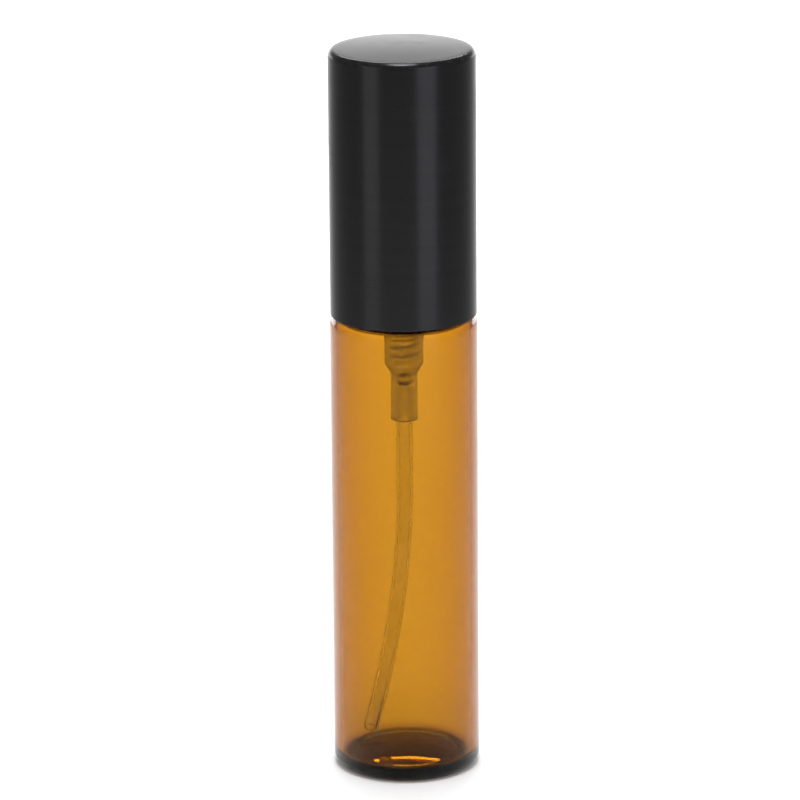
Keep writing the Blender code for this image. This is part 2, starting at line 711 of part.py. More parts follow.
def actuator_core(material, head):
    top = HEAD_HEIGHT - HEAD_SKIN - SEAT_GAP
    cavity_top = CORE_RECESS + CORE_CAVITY_DEPTH
    socket_r = stem_r + TURN_GAP
    socket_top = HUB_RECESS + STEM_SOCKET_DEPTH
    hub_r = socket_r + HUB_WALL
    skirt_r = core_r - CORE_WALL
    channel_r = CHANNEL_DIAMETER / 2
    core = piece(
        "actuator_core",
        turned(
            [
                (0.0, top, 0),
                (core_r, top, HEAD_EDGE_RADIUS),
                (core_r, CORE_RECESS, EDGE_BREAK),
                (skirt_r, CORE_RECESS, EDGE_BREAK),
                (skirt_r, cavity_top, FILLET_SMALL),
                (hub_r, cavity_top, FILLET_SMALL),
                (hub_r, HUB_RECESS, EDGE_BREAK),
                (socket_r, HUB_RECESS, EDGE_SOFT),
                (socket_r, socket_top, 0),
                (channel_r, socket_top, 0),
                (channel_r, nozzle_height(), 0),
                (0.0, nozzle_height(), 0),
            ],
            NARROW_SEGMENTS,
        ),
        material,
        head,
    )
    # Along the spray: from the vertical channel to the nozzle's pocket, and out through the side.
    pocket_r = nozzle_r + PRESS_GAP
    pocket_foot = head_r - NOZZLE_RECESS - NOZZLE_LENGTH - SEAT_GAP
    bore = piece(
        "spray_bore",
        turned(
            [
                (0.0, head_r, 0),
                (pocket_r, head_r, 0),
                (pocket_r, pocket_foot, 0),
                (channel_r * 0.8, pocket_foot, 0),
                (channel_r * 0.8, 0.0, 0),
                (0.0, 0.0, 0),
            ],
            NARROW_SEGMENTS,
        ),
        None,
        head,
        (0.0, 0.0, nozzle_height()),
        math.pi / 2,
    )
    combine(core, bore, "DIFFERENCE")


def actuator_shell(material, head):
    inner_r = head_r - HEAD_SKIN
    inner_top = HEAD_HEIGHT - HEAD_SKIN
    shell = piece(
        "actuator_shell",
        turned(
            [
                (0.0, HEAD_HEIGHT, 0),
                (head_r, HEAD_HEIGHT, HEAD_EDGE_RADIUS),
                (head_r, 0.0, EDGE_BREAK),
                (inner_r, 0.0, EDGE_BREAK),
                (inner_r, inner_top, HEAD_EDGE_RADIUS - HEAD_SKIN),
                (0.0, inner_top, 0),
            ],
            WIDE_SEGMENTS,
        ),
        material,
        head,
    )
    window_r = nozzle_r + NOZZLE_WINDOW_GAP
    corners = [(0.0, 2 * head_r, 0), (window_r, 2 * head_r, 0), (window_r, 0.0, 0), (0.0, 0.0, 0)]
    spot = (0.0, 0.0, nozzle_height())
    window = piece("nozzle_window", turned(corners, NARROW_SEGMENTS), None, head, spot, math.pi / 2)
    combine(shell, window, "DIFFERENCE")


def nozzle_insert(material, head):
    """A cup with the spray orifice in its face, turned about the spray's axis."""
    face = head_r - NOZZLE_RECESS
    foot = face - NOZZLE_LENGTH
    cup_r = nozzle_r - NOZZLE_WALL
    orifice_r = NOZZLE_ORIFICE / 2
    corners = [
        (nozzle_r, face, EDGE_SOFT),
        (orifice_r * 3, face, 0),
        (orifice_r, face - NOZZLE_FACE / 2, 0),
        (orifice_r, face - NOZZLE_FACE, 0),
        (cup_r, face - NOZZLE_FACE, 0),
        (cup_r, foot, 0),
        (nozzle_r, foot, EDGE_BREAK),
    ]
    spot = (0.0, 0.0, nozzle_height())
    piece("nozzle_insert", turned(corners, NARROW_SEGMENTS), material, head, spot, math.pi / 2)


def overcap_shell(material, overcap):
    top = liner_top + LINER_TOP + SEAT_GAP + OVERCAP_SKIN
    inner_top = top - OVERCAP_SKIN
    inner_r = overcap_r - OVERCAP_SKIN
    piece(
        "overcap_shell",
        turned(
            [
                (0.0, top, 0),
                (overcap_r, top, OVERCAP_EDGE_RADIUS),
                (overcap_r, 0.0, EDGE_BREAK),
                (inner_r, 0.0, EDGE_BREAK),
                (inner_r, inner_top, OVERCAP_EDGE_RADIUS - OVERCAP_SKIN),
                (0.0, inner_top, 0),
            ],
            WIDE_SEGMENTS,
        ),
        material,
        overcap,
    )


def overcap_liner(material, overcap):
    liner = piece(
        "overcap_liner",
        turned(
            [
                (0.0, liner_top + LINER_TOP, 0),
                (liner_r, liner_top + LINER_TOP, OVERCAP_EDGE_RADIUS),
                (liner_r, LINER_RECESS, EDGE_BREAK),
                (liner_inner_r, LINER_RECESS, FILLET_SMALL),
                (liner_inner_r, liner_top, OVERCAP_EDGE_RADIUS),
                (0.0, liner_top, 0),
            ],
            WIDE_SEGMENTS,
        ),
        material,
        overcap,
    )
    bm = bmesh.new()
    tip_r = liner_inner_r - RIB_HEIGHT
    buried_r = liner_inner_r + LINER_WALL / 2
    foot = LINER_RECESS + RIB_LEAD
    for k in range(RIB_COUNT):
        size = Matrix.Diagonal((buried_r - tip_r, RIB_WIDTH, RIB_LENGTH, 1.0))
        spot = Matrix.Translation(((buried_r + tip_r) / 2, 0.0, foot + RIB_LENGTH / 2))
        turn = Matrix.Rotation(math.tau * (k + 0.5) / RIB_COUNT, 4, "Z")
        bmesh.ops.create_cube(bm, size=1.0, matrix=turn @ spot @ size)
    ribs = piece("grip_ribs", bm, parent=overcap)
    combine(liner, ribs, "UNION")


def build():
    clear_scene()
    amber_glass = plain_material("amber_glass", (0.62, 0.27, 0.03), 0.03, transmission=1.0, ior=1.52)
    black_anodised = plain_material("black_anodised", (0.020, 0.020, 0.022), 0.32, metallic=0.9)
    white_plastic = plain_material("white_plastic", (0.82, 0.82, 0.80), 0.35)
    clear_plastic = plain_material("clear_plastic", (0.86, 0.86, 0.84), 0.25, transmission=0.7)
    foam = plain_material("foam", (0.80, 0.80, 0.78), 0.8)
    rubber = plain_material("rubber", (0.03, 0.03, 0.03), 0.6)
    steel = plain_material("steel", (0.62, 0.62, 0.63), 0.22, metallic=1.0)

    pump = datum("pump_datum", pump_datum)
    collar = datum("collar_datum", collar_datum, pump)
    overcap = datum("overcap_datum", overcap_datum, collar)
    stem = datum("stem_datum", stem_datum, pump)
    head = datum("head_datum", head_datum, stem)

    glass_bottle(amber_glass)
    housing_foot = pump_housing(clear_plastic, pump)
    neck_gasket(foam, pump)
    housing_turret(white_plastic, pump)
    stem_seal(rubber, pump)
    dip_tube(clear_plastic, pump, housing_foot)
    check_ball(steel, pump)
    return_spring(steel, pump)
    pump_stem(white_plastic, stem)
    stem_poppet(white_plastic, stem)
    piston(white_plastic, stem)
    screw_closure(white_plastic, collar)
    collar_sleeve(black_anodised, collar)
    actuator_core(white_plastic, head)
    actuator_shell(black_anodised, head)
    nozzle_insert(white_plastic, head)
    overcap_shell(black_anodised, overcap)
    overcap_liner(white_plastic, overcap)


build()
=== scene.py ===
"""Looks of a 10 ml tube perfume atomiser: amber glass, black anodised over-cap, fine-mist pump.

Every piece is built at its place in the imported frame. Turned pieces come from one profile helper,
and the screw threads, the grip ribs and the return spring are grown by geometry node trees.
"""

import math

import bmesh
import bpy
from mathutils import Matrix, Vector


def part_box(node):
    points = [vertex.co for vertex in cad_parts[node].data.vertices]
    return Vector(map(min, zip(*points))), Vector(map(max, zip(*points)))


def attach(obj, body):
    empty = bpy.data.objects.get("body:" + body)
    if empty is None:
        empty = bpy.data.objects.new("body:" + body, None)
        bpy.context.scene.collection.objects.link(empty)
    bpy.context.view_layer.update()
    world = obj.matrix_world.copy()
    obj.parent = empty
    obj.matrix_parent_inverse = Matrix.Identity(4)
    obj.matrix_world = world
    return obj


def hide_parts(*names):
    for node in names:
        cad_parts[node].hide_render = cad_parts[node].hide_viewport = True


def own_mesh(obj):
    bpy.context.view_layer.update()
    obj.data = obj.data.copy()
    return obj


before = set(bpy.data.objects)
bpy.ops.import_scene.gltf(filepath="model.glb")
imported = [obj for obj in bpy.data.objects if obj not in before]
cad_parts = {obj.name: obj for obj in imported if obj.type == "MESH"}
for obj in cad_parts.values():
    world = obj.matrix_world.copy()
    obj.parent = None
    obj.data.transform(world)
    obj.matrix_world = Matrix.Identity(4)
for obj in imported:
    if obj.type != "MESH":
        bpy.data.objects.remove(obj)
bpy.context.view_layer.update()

MM = 0.001

# Mesh fineness.
WIDE_TURN = 192               # segments round the bottle, over-cap, collar and push button
NARROW_TURN = 96              # segments round the pump's pieces
FILLET_STEP = math.radians(9.0)
SUPPORT = 0.06 * MM           # ring that holds a fillet's shading off the flat next to it
THREAD_ROW = 0.07 * MM        # spacing of the rings that a thread is raised from
SHARP = math.radians(32.0)    # faces that meet at more than this keep a crisp edge

# Clearances and walls that the frame's boxes don't show.
SEAT_GAP = 0.05 * MM
PRESS_GAP = 0.02 * MM
SLIDE_GAP = 0.02 * MM
TURN_GAP = 0.04 * MM
GUIDE_GAP = 0.10 * MM
GLASS_WALL = 1.0 * MM
FLOOR_THICKNESS = 1.5 * MM
SHOULDER_THICKNESS = 1.0 * MM
NECK_HEIGHT = 8.1 * MM
NECK_OVER_FLANGE = 0.3 * MM   # radial, the neck's outside beyond the pump's flange
NECK_LIP = 0.5 * MM           # plain length of neck over the dense rings
STANDING_RING = 1.2 * MM
PUSH_UP = 0.7 * MM
HEEL_RADIUS = 1.5 * MM
INNER_HEEL_RADIUS = 1.3 * MM
SHOULDER_RADIUS = 1.6 * MM
INNER_SHOULDER_RADIUS = 0.8 * MM
THREAD_PITCH = 2.1 * MM
THREAD_TURNS = 1.5
THREAD_DEPTH = 0.7 * MM
THREAD_TOP = 1.8 * MM
THREAD_ROOT = 1.15 * MM
THREAD_CREST = 0.42 * MM
THREAD_FADE = 0.14            # turns over which a thread rises at either end
CREST_FLOAT = 0.12 * MM       # radial, the closure's crest off the neck
OVERCAP_SKIN = 0.45 * MM
OVERCAP_EDGE = 0.75 * MM
OVERCAP_CROWN = 0.1 * MM      # how far the drawn top rises to its middle
LINER_WALL = 0.65 * MM
LINER_TOP = 0.9 * MM
RIB_COUNT = 6
RIB_HEIGHT = 0.2 * MM
RIB_WIDTH = 0.5 * MM
RIB_LENGTH = 9.0 * MM
RIB_LEAD = 1.0 * MM
COLLAR_SKIN = 0.35 * MM
COLLAR_EDGE = 0.6 * MM
CLOSURE_TOP = 1.2 * MM
CLOSURE_WALL = 0.6 * MM
TURRET_CLEARANCE = 0.15 * MM
COLLAR_LIP = 0.5 * MM
FLANGE_THICKNESS = 1.0 * MM
HOUSING_NECK_RADIUS = 3.2 * MM
HOUSING_NECK_LENGTH = 2.7 * MM
HOUSING_CONE_LENGTH = 0.8 * MM
HOUSING_WALL = 0.5 * MM
NECK_CLEARANCE = 0.7 * MM
BARREL_BORE_RADIUS = 1.85 * MM
BARREL_LENGTH = 13.1 * MM
SEAL_POCKET_RADIUS = 2.6 * MM
SEAL_POCKET_DEPTH = 1.9 * MM
BARREL_FLOOR = 0.5 * MM
TAIL_CONE_LENGTH = 1.3 * MM
TAIL_WALL = 0.6 * MM
TAIL_FLARE = 0.1 * MM
SOCKET_LENGTH = 4.0 * MM
BALL_CLEARANCE = 0.15 * MM
LIP_OVERLAP = 0.15 * MM
LIP_THICKNESS = 0.45 * MM
THROAT_RADIUS = 0.5 * MM
STEM_BORE_RADIUS = 0.6 * MM
STEM_LOWER_SPAN = 2.0 * MM
POPPET_PIN_RADIUS = 0.75 * MM
POPPET_PIN_INSERT = 2.4 * MM
POPPET_BORE_RADIUS = 0.4 * MM
POPPET_FLANGE = 0.6 * MM
INLET_PORT_RADIUS = 0.25 * MM
INLET_PORT_HEIGHT = 0.7 * MM
GUIDE_PIN_CLEARANCE = 0.35 * MM
GUIDE_PIN_LENGTH = 2.5 * MM
PISTON_SLIP = 0.4 * MM
PISTON_WALL = 0.5 * MM
PISTON_LIP = 0.13 * MM
PISTON_WAIST = 0.2 * MM
SPRING_WIRE = 0.4 * MM
SPRING_TURNS = 8.5
SPRING_DEAD_TURNS = 0.8
HEAD_SKIN = 0.35 * MM
HEAD_EDGE = 0.7 * MM
CORE_WALL = 0.8 * MM
HUB_WALL = 1.25 * MM
HUB_RECESS = 1.5 * MM
STEM_SOCKET_DEPTH = 3.8 * MM
CORE_CAVITY_DEPTH = 4.4 * MM
NOZZLE_LENGTH = 2.7 * MM
NOZZLE_FACE = 0.6 * MM
NOZZLE_WALL = 0.6 * MM
NOZZLE_ORIFICE_RADIUS = 0.2 * MM
NOZZLE_WINDOW_GAP = 0.3 * MM
CHANNEL_RADIUS = 0.55 * MM
TUBE_RADIUS = 1.0 * MM
TUBE_BORE_RADIUS = 0.6 * MM
TUBE_STRAIGHT = 8.5 * MM
TUBE_BEND_POWER = 1.9         # 2 would be an even bend; less starts it sooner
TUBE_WALL_GAP = 0.9 * MM
TUBE_FLOOR_GAP = 0.6 * MM
TUBE_HEADING = math.radians(139.0)
TUBE_STEPS = 72
TUBE_SIDES = 40
SPRING_STEPS = 420
SPRING_SIDES = 14

# Studio.
SURROUND = 0.62               # strength of the white surround
LENS = 221.5                  # millimetres, on a 36 mm wide sensor
CAMERA_DISTANCE = 0.6
CAMERA_RISE = math.radians(16.6)
CAMERA_ROLL = math.radians(-0.45)
CAMERA_AIM = (-0.00052, 0.0, 0.04654)


def low(node):
    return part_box(node)[0].z


def high(node):
    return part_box(node)[1].z


def radius(node):
    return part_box(node)[1].x


# Datums and radii read from the frame.
bottle_r = radius("glass_bottle")
neck_top = high("glass_bottle")
shoulder = neck_top - NECK_HEIGHT
pump_z = high("pump_housing") - FLANGE_THICKNESS
flange_r = radius("pump_housing")
neck_r = flange_r + NECK_OVER_FLANGE
neck_bore_r = HOUSING_NECK_RADIUS + NECK_CLEARANCE
collar_z = high("screw_closure") - CLOSURE_TOP
closure_r = radius("screw_closure")
closure_bore_r = closure_r - CLOSURE_WALL
turret_r = radius("housing_turret")
closure_hole_r = turret_r + TURRET_CLEARANCE
collar_r = radius("collar_sleeve")
stem_r = radius("pump_stem")
stem_z = high("stem_poppet") - STEM_LOWER_SPAN - POPPET_PIN_INSERT
head_r = radius("actuator_shell")
head_z = low("actuator_shell")
head_top = high("actuator_shell")
core_r = radius("actuator_core")
nozzle_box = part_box("nozzle_insert")
nozzle_r = nozzle_box[1].x
nozzle_z = (nozzle_box[0].z + nozzle_box[1].z) / 2
nozzle_face = -nozzle_box[0].y
ball_r = radius("check_ball")
spring_ledge = pump_z - SEAL_POCKET_DEPTH - BARREL_LENGTH
spring_mean_r = radius("return_spring") - SPRING_WIRE / 2
thread_foot = neck_top - THREAD_TOP - THREAD_TURNS * THREAD_PITCH


# ---------------------------------------------------------------- shader node groups


def shader_group(name, inputs, outputs):
    """An empty shader node group with named sockets, as (group, input node, output node)."""
    group = bpy.data.node_groups.new(name, "ShaderNodeTree")
    for label, value in inputs:
        socket = group.interface.new_socket(label, in_out="INPUT", socket_type="NodeSocketFloat")
        socket.default_value = value
    for label in outputs:
        group.interface.new_socket(label, in_out="OUTPUT", socket_type="NodeSocketFloat")
    return group, group.nodes.new("NodeGroupInput"), group.nodes.new("NodeGroupOutput")


class Graph:
    """Short calls for adding nodes to a tree."""

    def __init__(self, tree):
        self.tree = tree

    def node(self, kind, **settings):
        node = self.tree.nodes.new(kind)
        for key, value in settings.items():
            setattr(node, key, value)
        return node

    def link(self, source, target):
        self.tree.links.new(source, target)

    def feed(self, node, values):
        """Sets or links a node's inputs, by name or position."""
        for key, value in values.items():
            if isinstance(value, bpy.types.NodeSocket):
                self.link(value, node.inputs[key])
            else:
                node.inputs[key].default_value = value
        return node

    def math(self, operation, *values, clamp=False):
        node = self.node("ShaderNodeMath", operation=operation, use_clamp=clamp)
        self.feed(node, dict(enumerate(values)))
        return node.outputs[0]

    def noise(self, vector, scale, detail=3.0, roughness=0.5):
        node = self.node("ShaderNodeTexNoise")
        self.feed(node, {"Vector": vector, "Scale": scale, "Detail": detail, "Roughness": roughness})
        return node.outputs["Fac"]

    def remap(self, value, a, b, c=0.0, d=1.0):
        node = self.node("ShaderNodeMapRange")
        self.feed(node, {"Value": value, "From Min": a, "From Max": b, "To Min": c, "To Max": d})
        return node.outputs["Result"]

    def blend(self, factor, first, second):
        node = self.node("ShaderNodeMix", data_type="RGBA")
        node.clamp_factor = True
        self.feed(node, {0: factor, 6: first, 7: second})
        return node.outputs[2]


def turning_marks():
    """Fine rings left by a lathe or a polishing wheel, which run round the Z axis."""
    group, entry, leave = shader_group(
        "turning_marks", [("Rings per Metre", 9000.0), ("Wander", 60.0)], ["Height", "Tone"]
    )
    g = Graph(group)
    place = g.node("ShaderNodeTexCoord").outputs["Object"]
    split = g.node("ShaderNodeSeparateXYZ")
    g.link(place, split.inputs[0])
    rings = g.math("MULTIPLY", split.outputs[2], entry.outputs["Rings per Metre"])
    across = g.math("MULTIPLY", split.outputs[0], entry.outputs["Wander"])
    along = g.math("MULTIPLY", split.outputs[1], entry.outputs["Wander"])
    joined = g.node("ShaderNodeCombineXYZ")
    g.feed(joined, {0: across, 1: along, 2: rings})
    g.link(g.noise(joined.outputs[0], 1.0, 4.0, 0.6), leave.inputs["Height"])
    g.link(g.noise(joined.outputs[0], 0.13, 2.0), leave.inputs["Tone"])
    return group


def handling_marks():
    """Smudges from fingers, soft-edged and a few millimetres across."""
    group, entry, leave = shader_group("handling_marks", [("Scale", 160.0), ("Cover", 0.55)], ["Mask"])
    g = Graph(group)
    place = g.node("ShaderNodeTexCoord").outputs["Object"]
    broad = g.noise(place, entry.outputs["Scale"], 2.0)
    fine = g.noise(place, g.math("MULTIPLY", entry.outputs["Scale"], 9.0), 4.0, 0.6)
    mixed = g.math("ADD", broad, g.math("MULTIPLY", g.math("SUBTRACT", fine, 0.5), 0.25))
    top = g.math("ADD", entry.outputs["Cover"], 0.18)
    g.link(g.remap(mixed, entry.outputs["Cover"], top), leave.inputs["Mask"])
    return group


def edge_wear():
    """Rubbed places along a fillet, from the profile's edge attribute."""
    group, entry, leave = shader_group("edge_wear", [("Scale", 900.0), ("Amount", 0.5)], ["Mask"])
    g = Graph(group)
    edge = g.node("ShaderNodeAttribute", attribute_name="edge").outputs["Fac"]
    place = g.node("ShaderNodeTexCoord").outputs["Object"]
    patches = g.remap(g.noise(place, entry.outputs["Scale"], 5.0, 0.65), 0.45, 0.65)
    rubbed = g.math("MULTIPLY", edge, patches)
    g.link(g.math("MULTIPLY", rubbed, entry.outputs["Amount"]), leave.inputs["Mask"])
    return group


def moulded_skin():
    """The faint orange-peel and spark grain of a moulded surface."""
    group, entry, leave = shader_group(
        "moulded_skin", [("Scale", 2600.0), ("Flow", 220.0)], ["Height", "Tone"]
    )
    g = Graph(group)
    place = g.node("ShaderNodeTexCoord").outputs["Object"]
    grain = g.noise(place, entry.outputs["Scale"], 3.0, 0.6)
    flow = g.noise(place, entry.outputs["Flow"], 2.0)
    g.link(g.math("ADD", grain, g.math("MULTIPLY", flow, 0.6)), leave.inputs["Height"])
    g.link(flow, leave.inputs["Tone"])
    return group


def dust_specks():
    """Sparse motes on faces that look up."""
    group, entry, leave = shader_group("dust_specks", [("Scale", 1400.0), ("Amount", 0.5)], ["Mask"])
    g = Graph(group)
    place = g.node("ShaderNodeTexCoord").outputs["Object"]
    cells = g.node("ShaderNodeTexVoronoi", feature="F1")
    g.feed(cells, {"Vector": place, "Scale": entry.outputs["Scale"]})
    spot = g.remap(cells.outputs["Distance"], 0.14, 0.05)
    chosen = g.remap(g.noise(place, 420.0, 1.0), 0.6, 0.64)
    facing = g.node("ShaderNodeSeparateXYZ")
    g.link(g.node("ShaderNodeNewGeometry").outputs["Normal"], facing.inputs[0])
    up = g.remap(facing.outputs[2], 0.2, 0.9)
    mask = g.math("MULTIPLY", g.math("MULTIPLY", spot, chosen), up)
    g.link(g.math("MULTIPLY", mask, entry.outputs["Amount"]), leave.inputs["Mask"])
    return group


MARKS = turning_marks()
SMUDGES = handling_marks()
WEAR = edge_wear()
SKIN = moulded_skin()
DUST = dust_specks()


def place_group(g, group, **values):
    node = g.node("ShaderNodeGroup", node_tree=group)
    return g.feed(node, {key.replace("_", " "): value for key, value in values.items()})


def finish(name, plain):
    """A material with its Principled BSDF's plain sockets set, as (material, graph, shader)."""
    material = bpy.data.materials.new(name)
    material.use_nodes = True
    shader = material.node_tree.nodes["Principled BSDF"]
    for key, value in plain.items():
        shader.inputs[key].default_value = value
    return material, Graph(material.node_tree), shader


def bump(g, shader, height, strength, distance):
    node = g.node("ShaderNodeBump")
    g.feed(node, {"Height": height, "Strength": strength, "Distance": distance})
    g.link(node.outputs["Normal"], shader.inputs["Normal"])


def black_anodised():
    material, g, shader = finish(
        "black_anodised_aluminium", {"Metallic": 1.0, "Specular Tint": (0.7, 0.7, 0.7, 1.0)}
    )
    marks = place_group(g, MARKS, Rings_per_Metre=7000.0, Wander=40.0)
    smudge = place_group(g, SMUDGES, Scale=150.0, Cover=0.55).outputs[0]
    worn = place_group(g, WEAR, Scale=1100.0, Amount=0.35).outputs[0]
    dust = place_group(g, DUST, Scale=1500.0, Amount=0.5).outputs[0]
    dye = g.blend(marks.outputs["Tone"], (0.0195, 0.0188, 0.0196, 1.0), (0.0245, 0.0236, 0.0248, 1.0))
    rubbed = g.blend(worn, dye, (0.075, 0.072, 0.074, 1.0))
    g.link(g.blend(dust, rubbed, (0.35, 0.34, 0.33, 1.0)), shader.inputs["Base Color"])
    base = g.remap(marks.outputs["Height"], 0.3, 0.7, 0.2, 0.25)
    greasy = g.math("ADD", base, g.math("MULTIPLY", smudge, 0.05))
    g.link(g.math("ADD", greasy, g.math("MULTIPLY", dust, 0.5), clamp=True), shader.inputs["Roughness"])
    bump(g, shader, marks.outputs["Height"], 0.06, 0.01 * MM)
    return material


def amber_glass():
    material, g, shader = finish(
        "amber_tube_glass",
        {
            "Base Color": (1.0, 1.0, 1.0, 1.0),
            "Transmission Weight": 1.0,
            "IOR": 1.5,
            "Specular Tint": (0.3, 0.3, 0.3, 1.0),
        },
    )
    smudge = place_group(g, SMUDGES, Scale=120.0, Cover=0.6).outputs[0]
    g.link(g.math("MULTIPLY", smudge, 0.03), shader.inputs["Roughness"])
    place = g.node("ShaderNodeTexCoord").outputs["Object"]
    stretch = g.node("ShaderNodeMapping")
    g.feed(stretch, {"Vector": place, "Scale": (1.0, 1.0, 0.12)})
    bump(g, shader, g.noise(stretch.outputs[0], 160.0, 1.0), 0.015, 0.05 * MM)
    tint = g.node("ShaderNodeVolumeAbsorption")
    g.feed(tint, {"Color": (0.85, 0.71, 0.036, 1.0), "Density": 3000.0})
    g.link(tint.outputs[0], material.node_tree.nodes["Material Output"].inputs["Volume"])
    return material


def white_polypropylene():
    material, g, shader = finish(
        "white_polypropylene",
        {"IOR": 1.49, "Subsurface Weight": 0.12, "Subsurface Scale": 0.6 * MM},
    )
    skin = place_group(g, SKIN, Scale=2600.0, Flow=180.0)
    smudge = place_group(g, SMUDGES, Scale=200.0, Cover=0.58).outputs[0]
    tone = g.blend(skin.outputs["Tone"], (0.8, 0.795, 0.77, 1.0), (0.86, 0.86, 0.845, 1.0))
    soiled = g.blend(g.math("MULTIPLY", smudge, 0.3), tone, (0.74, 0.73, 0.69, 1.0))
    g.link(soiled, shader.inputs["Base Color"])
    g.link(g.remap(skin.outputs["Height"], 0.4, 1.2, 0.32, 0.46), shader.inputs["Roughness"])
    bump(g, shader, skin.outputs["Height"], 0.18, 0.012 * MM)
    return material


def natural_polypropylene(name, clearness, roughness, ior, cloudy):
    """Unpigmented plastic, hazy but see-through in a thin wall."""
    material, g, shader = finish(name, {"IOR": ior, "Transmission Weight": clearness})
    skin = place_group(g, SKIN, Scale=1800.0, Flow=260.0)
    tone = g.blend(skin.outputs["Tone"], cloudy, (0.995, 0.995, 0.99, 1.0))
    g.link(tone, shader.inputs["Base Color"])
    rough = g.remap(skin.outputs["Height"], 0.4, 1.2, roughness - 0.05, roughness + 0.05)
    g.link(rough, shader.inputs["Roughness"])
    bump(g, shader, skin.outputs["Height"], 0.12, 0.012 * MM)
    return material


def closed_cell_foam():
    material, g, shader = finish("closed_cell_foam", {"IOR": 1.45})
    place = g.node("ShaderNodeTexCoord").outputs["Object"]
    cells = g.node("ShaderNodeTexVoronoi", feature="SMOOTH_F1")
    g.feed(cells, {"Vector": place, "Scale": 5200.0})
    pits = cells.outputs["Distance"]
    g.link(g.blend(pits, (0.84, 0.83, 0.8, 1.0), (0.66, 0.65, 0.61, 1.0)), shader.inputs["Base Color"])
    g.link(g.remap(pits, 0.0, 0.8, 0.75, 0.95), shader.inputs["Roughness"])
    bump(g, shader, pits, 0.6, 0.05 * MM)
    return material


def black_rubber():
    material, g, shader = finish("nitrile_rubber", {"IOR": 1.52})
    skin = place_group(g, SKIN, Scale=3800.0, Flow=500.0)
    bloom = place_group(g, SMUDGES, Scale=420.0, Cover=0.5).outputs[0]
    tone = g.blend(g.math("MULTIPLY", bloom, 0.5), (0.018, 0.018, 0.019, 1.0), (0.05, 0.049, 0.048, 1.0))
    g.link(tone, shader.inputs["Base Color"])
    g.link(g.remap(skin.outputs["Height"], 0.4, 1.2, 0.5, 0.68), shader.inputs["Roughness"])
    bump(g, shader, skin.outputs["Height"], 0.3, 0.02 * MM)
    return material


def bright_steel(name, rings, dull, bright):
    material, g, shader = finish(name, {"Metallic": 1.0})
    marks = place_group(g, MARKS, Rings_per_Metre=rings, Wander=rings * 0.2)
    low_tone = (dull, dull, 0.98 * dull, 1.0)
    high_tone = (bright, bright, 0.98 * bright, 1.0)
    g.link(g.blend(marks.outputs["Tone"], low_tone, high_tone), shader.inputs["Base Color"])
    g.link(g.remap(marks.outputs["Height"], 0.3, 0.7, 0.14, 0.24), shader.inputs["Roughness"])
    bump(g, shader, marks.outputs["Height"], 0.08, 0.008 * MM)
    return material


GLASS = amber_glass()
ANODISED = black_anodised()
WHITE = white_polypropylene()
MILKY = natural_polypropylene("natural_polypropylene", 1.0, 0.5, 1.35, (0.975, 0.975, 0.96, 1.0))
TUBING = natural_polypropylene("dip_tube_polyethylene", 0.97, 0.2, 1.35, (0.93, 0.93, 0.9, 1.0))
FOAM = closed_cell_foam()
RUBBER = black_rubber()
STEEL = bright_steel("spring_steel", 5000.0, 0.56, 0.68)
BALL_STEEL = bright_steel("ball_steel", 1500.0, 0.82, 0.9)


# ---------------------------------------------------------------- meshes


def outline(corners):
    """Profile points (radius, height, edge) from corners (radius, height, fillet)."""
    points = []
    for i, (x, z, fillet) in enumerate(corners):
        corner = Vector((x, z))
        back = Vector(corners[i - 1][:2]) - corner
        ahead = Vector(corners[(i + 1) % len(corners)][:2]) - corner
        if not fillet:
            points.append((x, z, 0.0))
            continue
        half = back.angle(ahead) / 2
        reach = min(fillet / math.tan(half), 0.49 * back.length, 0.49 * ahead.length)
        rounding = reach * math.tan(half)
        towards = (back.normalized() + ahead.normalized()).normalized()
        centre = corner + towards * rounding / math.sin(half)
        first = corner + back.normalized() * reach - centre
        last = corner + ahead.normalized() * reach - centre
        turn = first.angle(last)
        steps = max(3, round(turn / FILLET_STEP))
        if back.length > 2 * reach + 2 * SUPPORT:
            points.append((*(corner + back.normalized() * (reach + SUPPORT)), 0.0))
        for k in range(steps + 1):
            a = turn * k / steps
            arm = (first * math.sin(turn - a) + last * math.sin(a)) / math.sin(turn)
            points.append((*(centre + arm), math.sin(math.pi * k / steps)))
        if ahead.length > 2 * reach + 2 * SUPPORT:
            points.append((*(corner + ahead.normalized() * (reach + SUPPORT)), 0.0))
    return points


def dome(rim_r, height, base, steps=12):
    """Corners of a shallow dome from just inside its rim to the axis."""
    return [
        (rim_r * (1 - k / steps), base + height * (1 - (1 - k / steps) ** 2), 0)
        for k in range(1, steps + 1)
    ]


def made(name, bm, material):
    """A smooth object from a closed bmesh, with its faces pointing outwards."""
    bmesh.ops.recalc_face_normals(bm, faces=bm.faces)
    mesh = bpy.data.meshes.new(name)
    bm.to_mesh(mesh)
    bm.free()
    mesh.materials.append(material)
    mesh.shade_smooth()
    mesh.set_sharp_from_angle(angle=SHARP)
    obj = bpy.data.objects.new(name, mesh)
    bpy.context.scene.collection.objects.link(obj)
    return obj


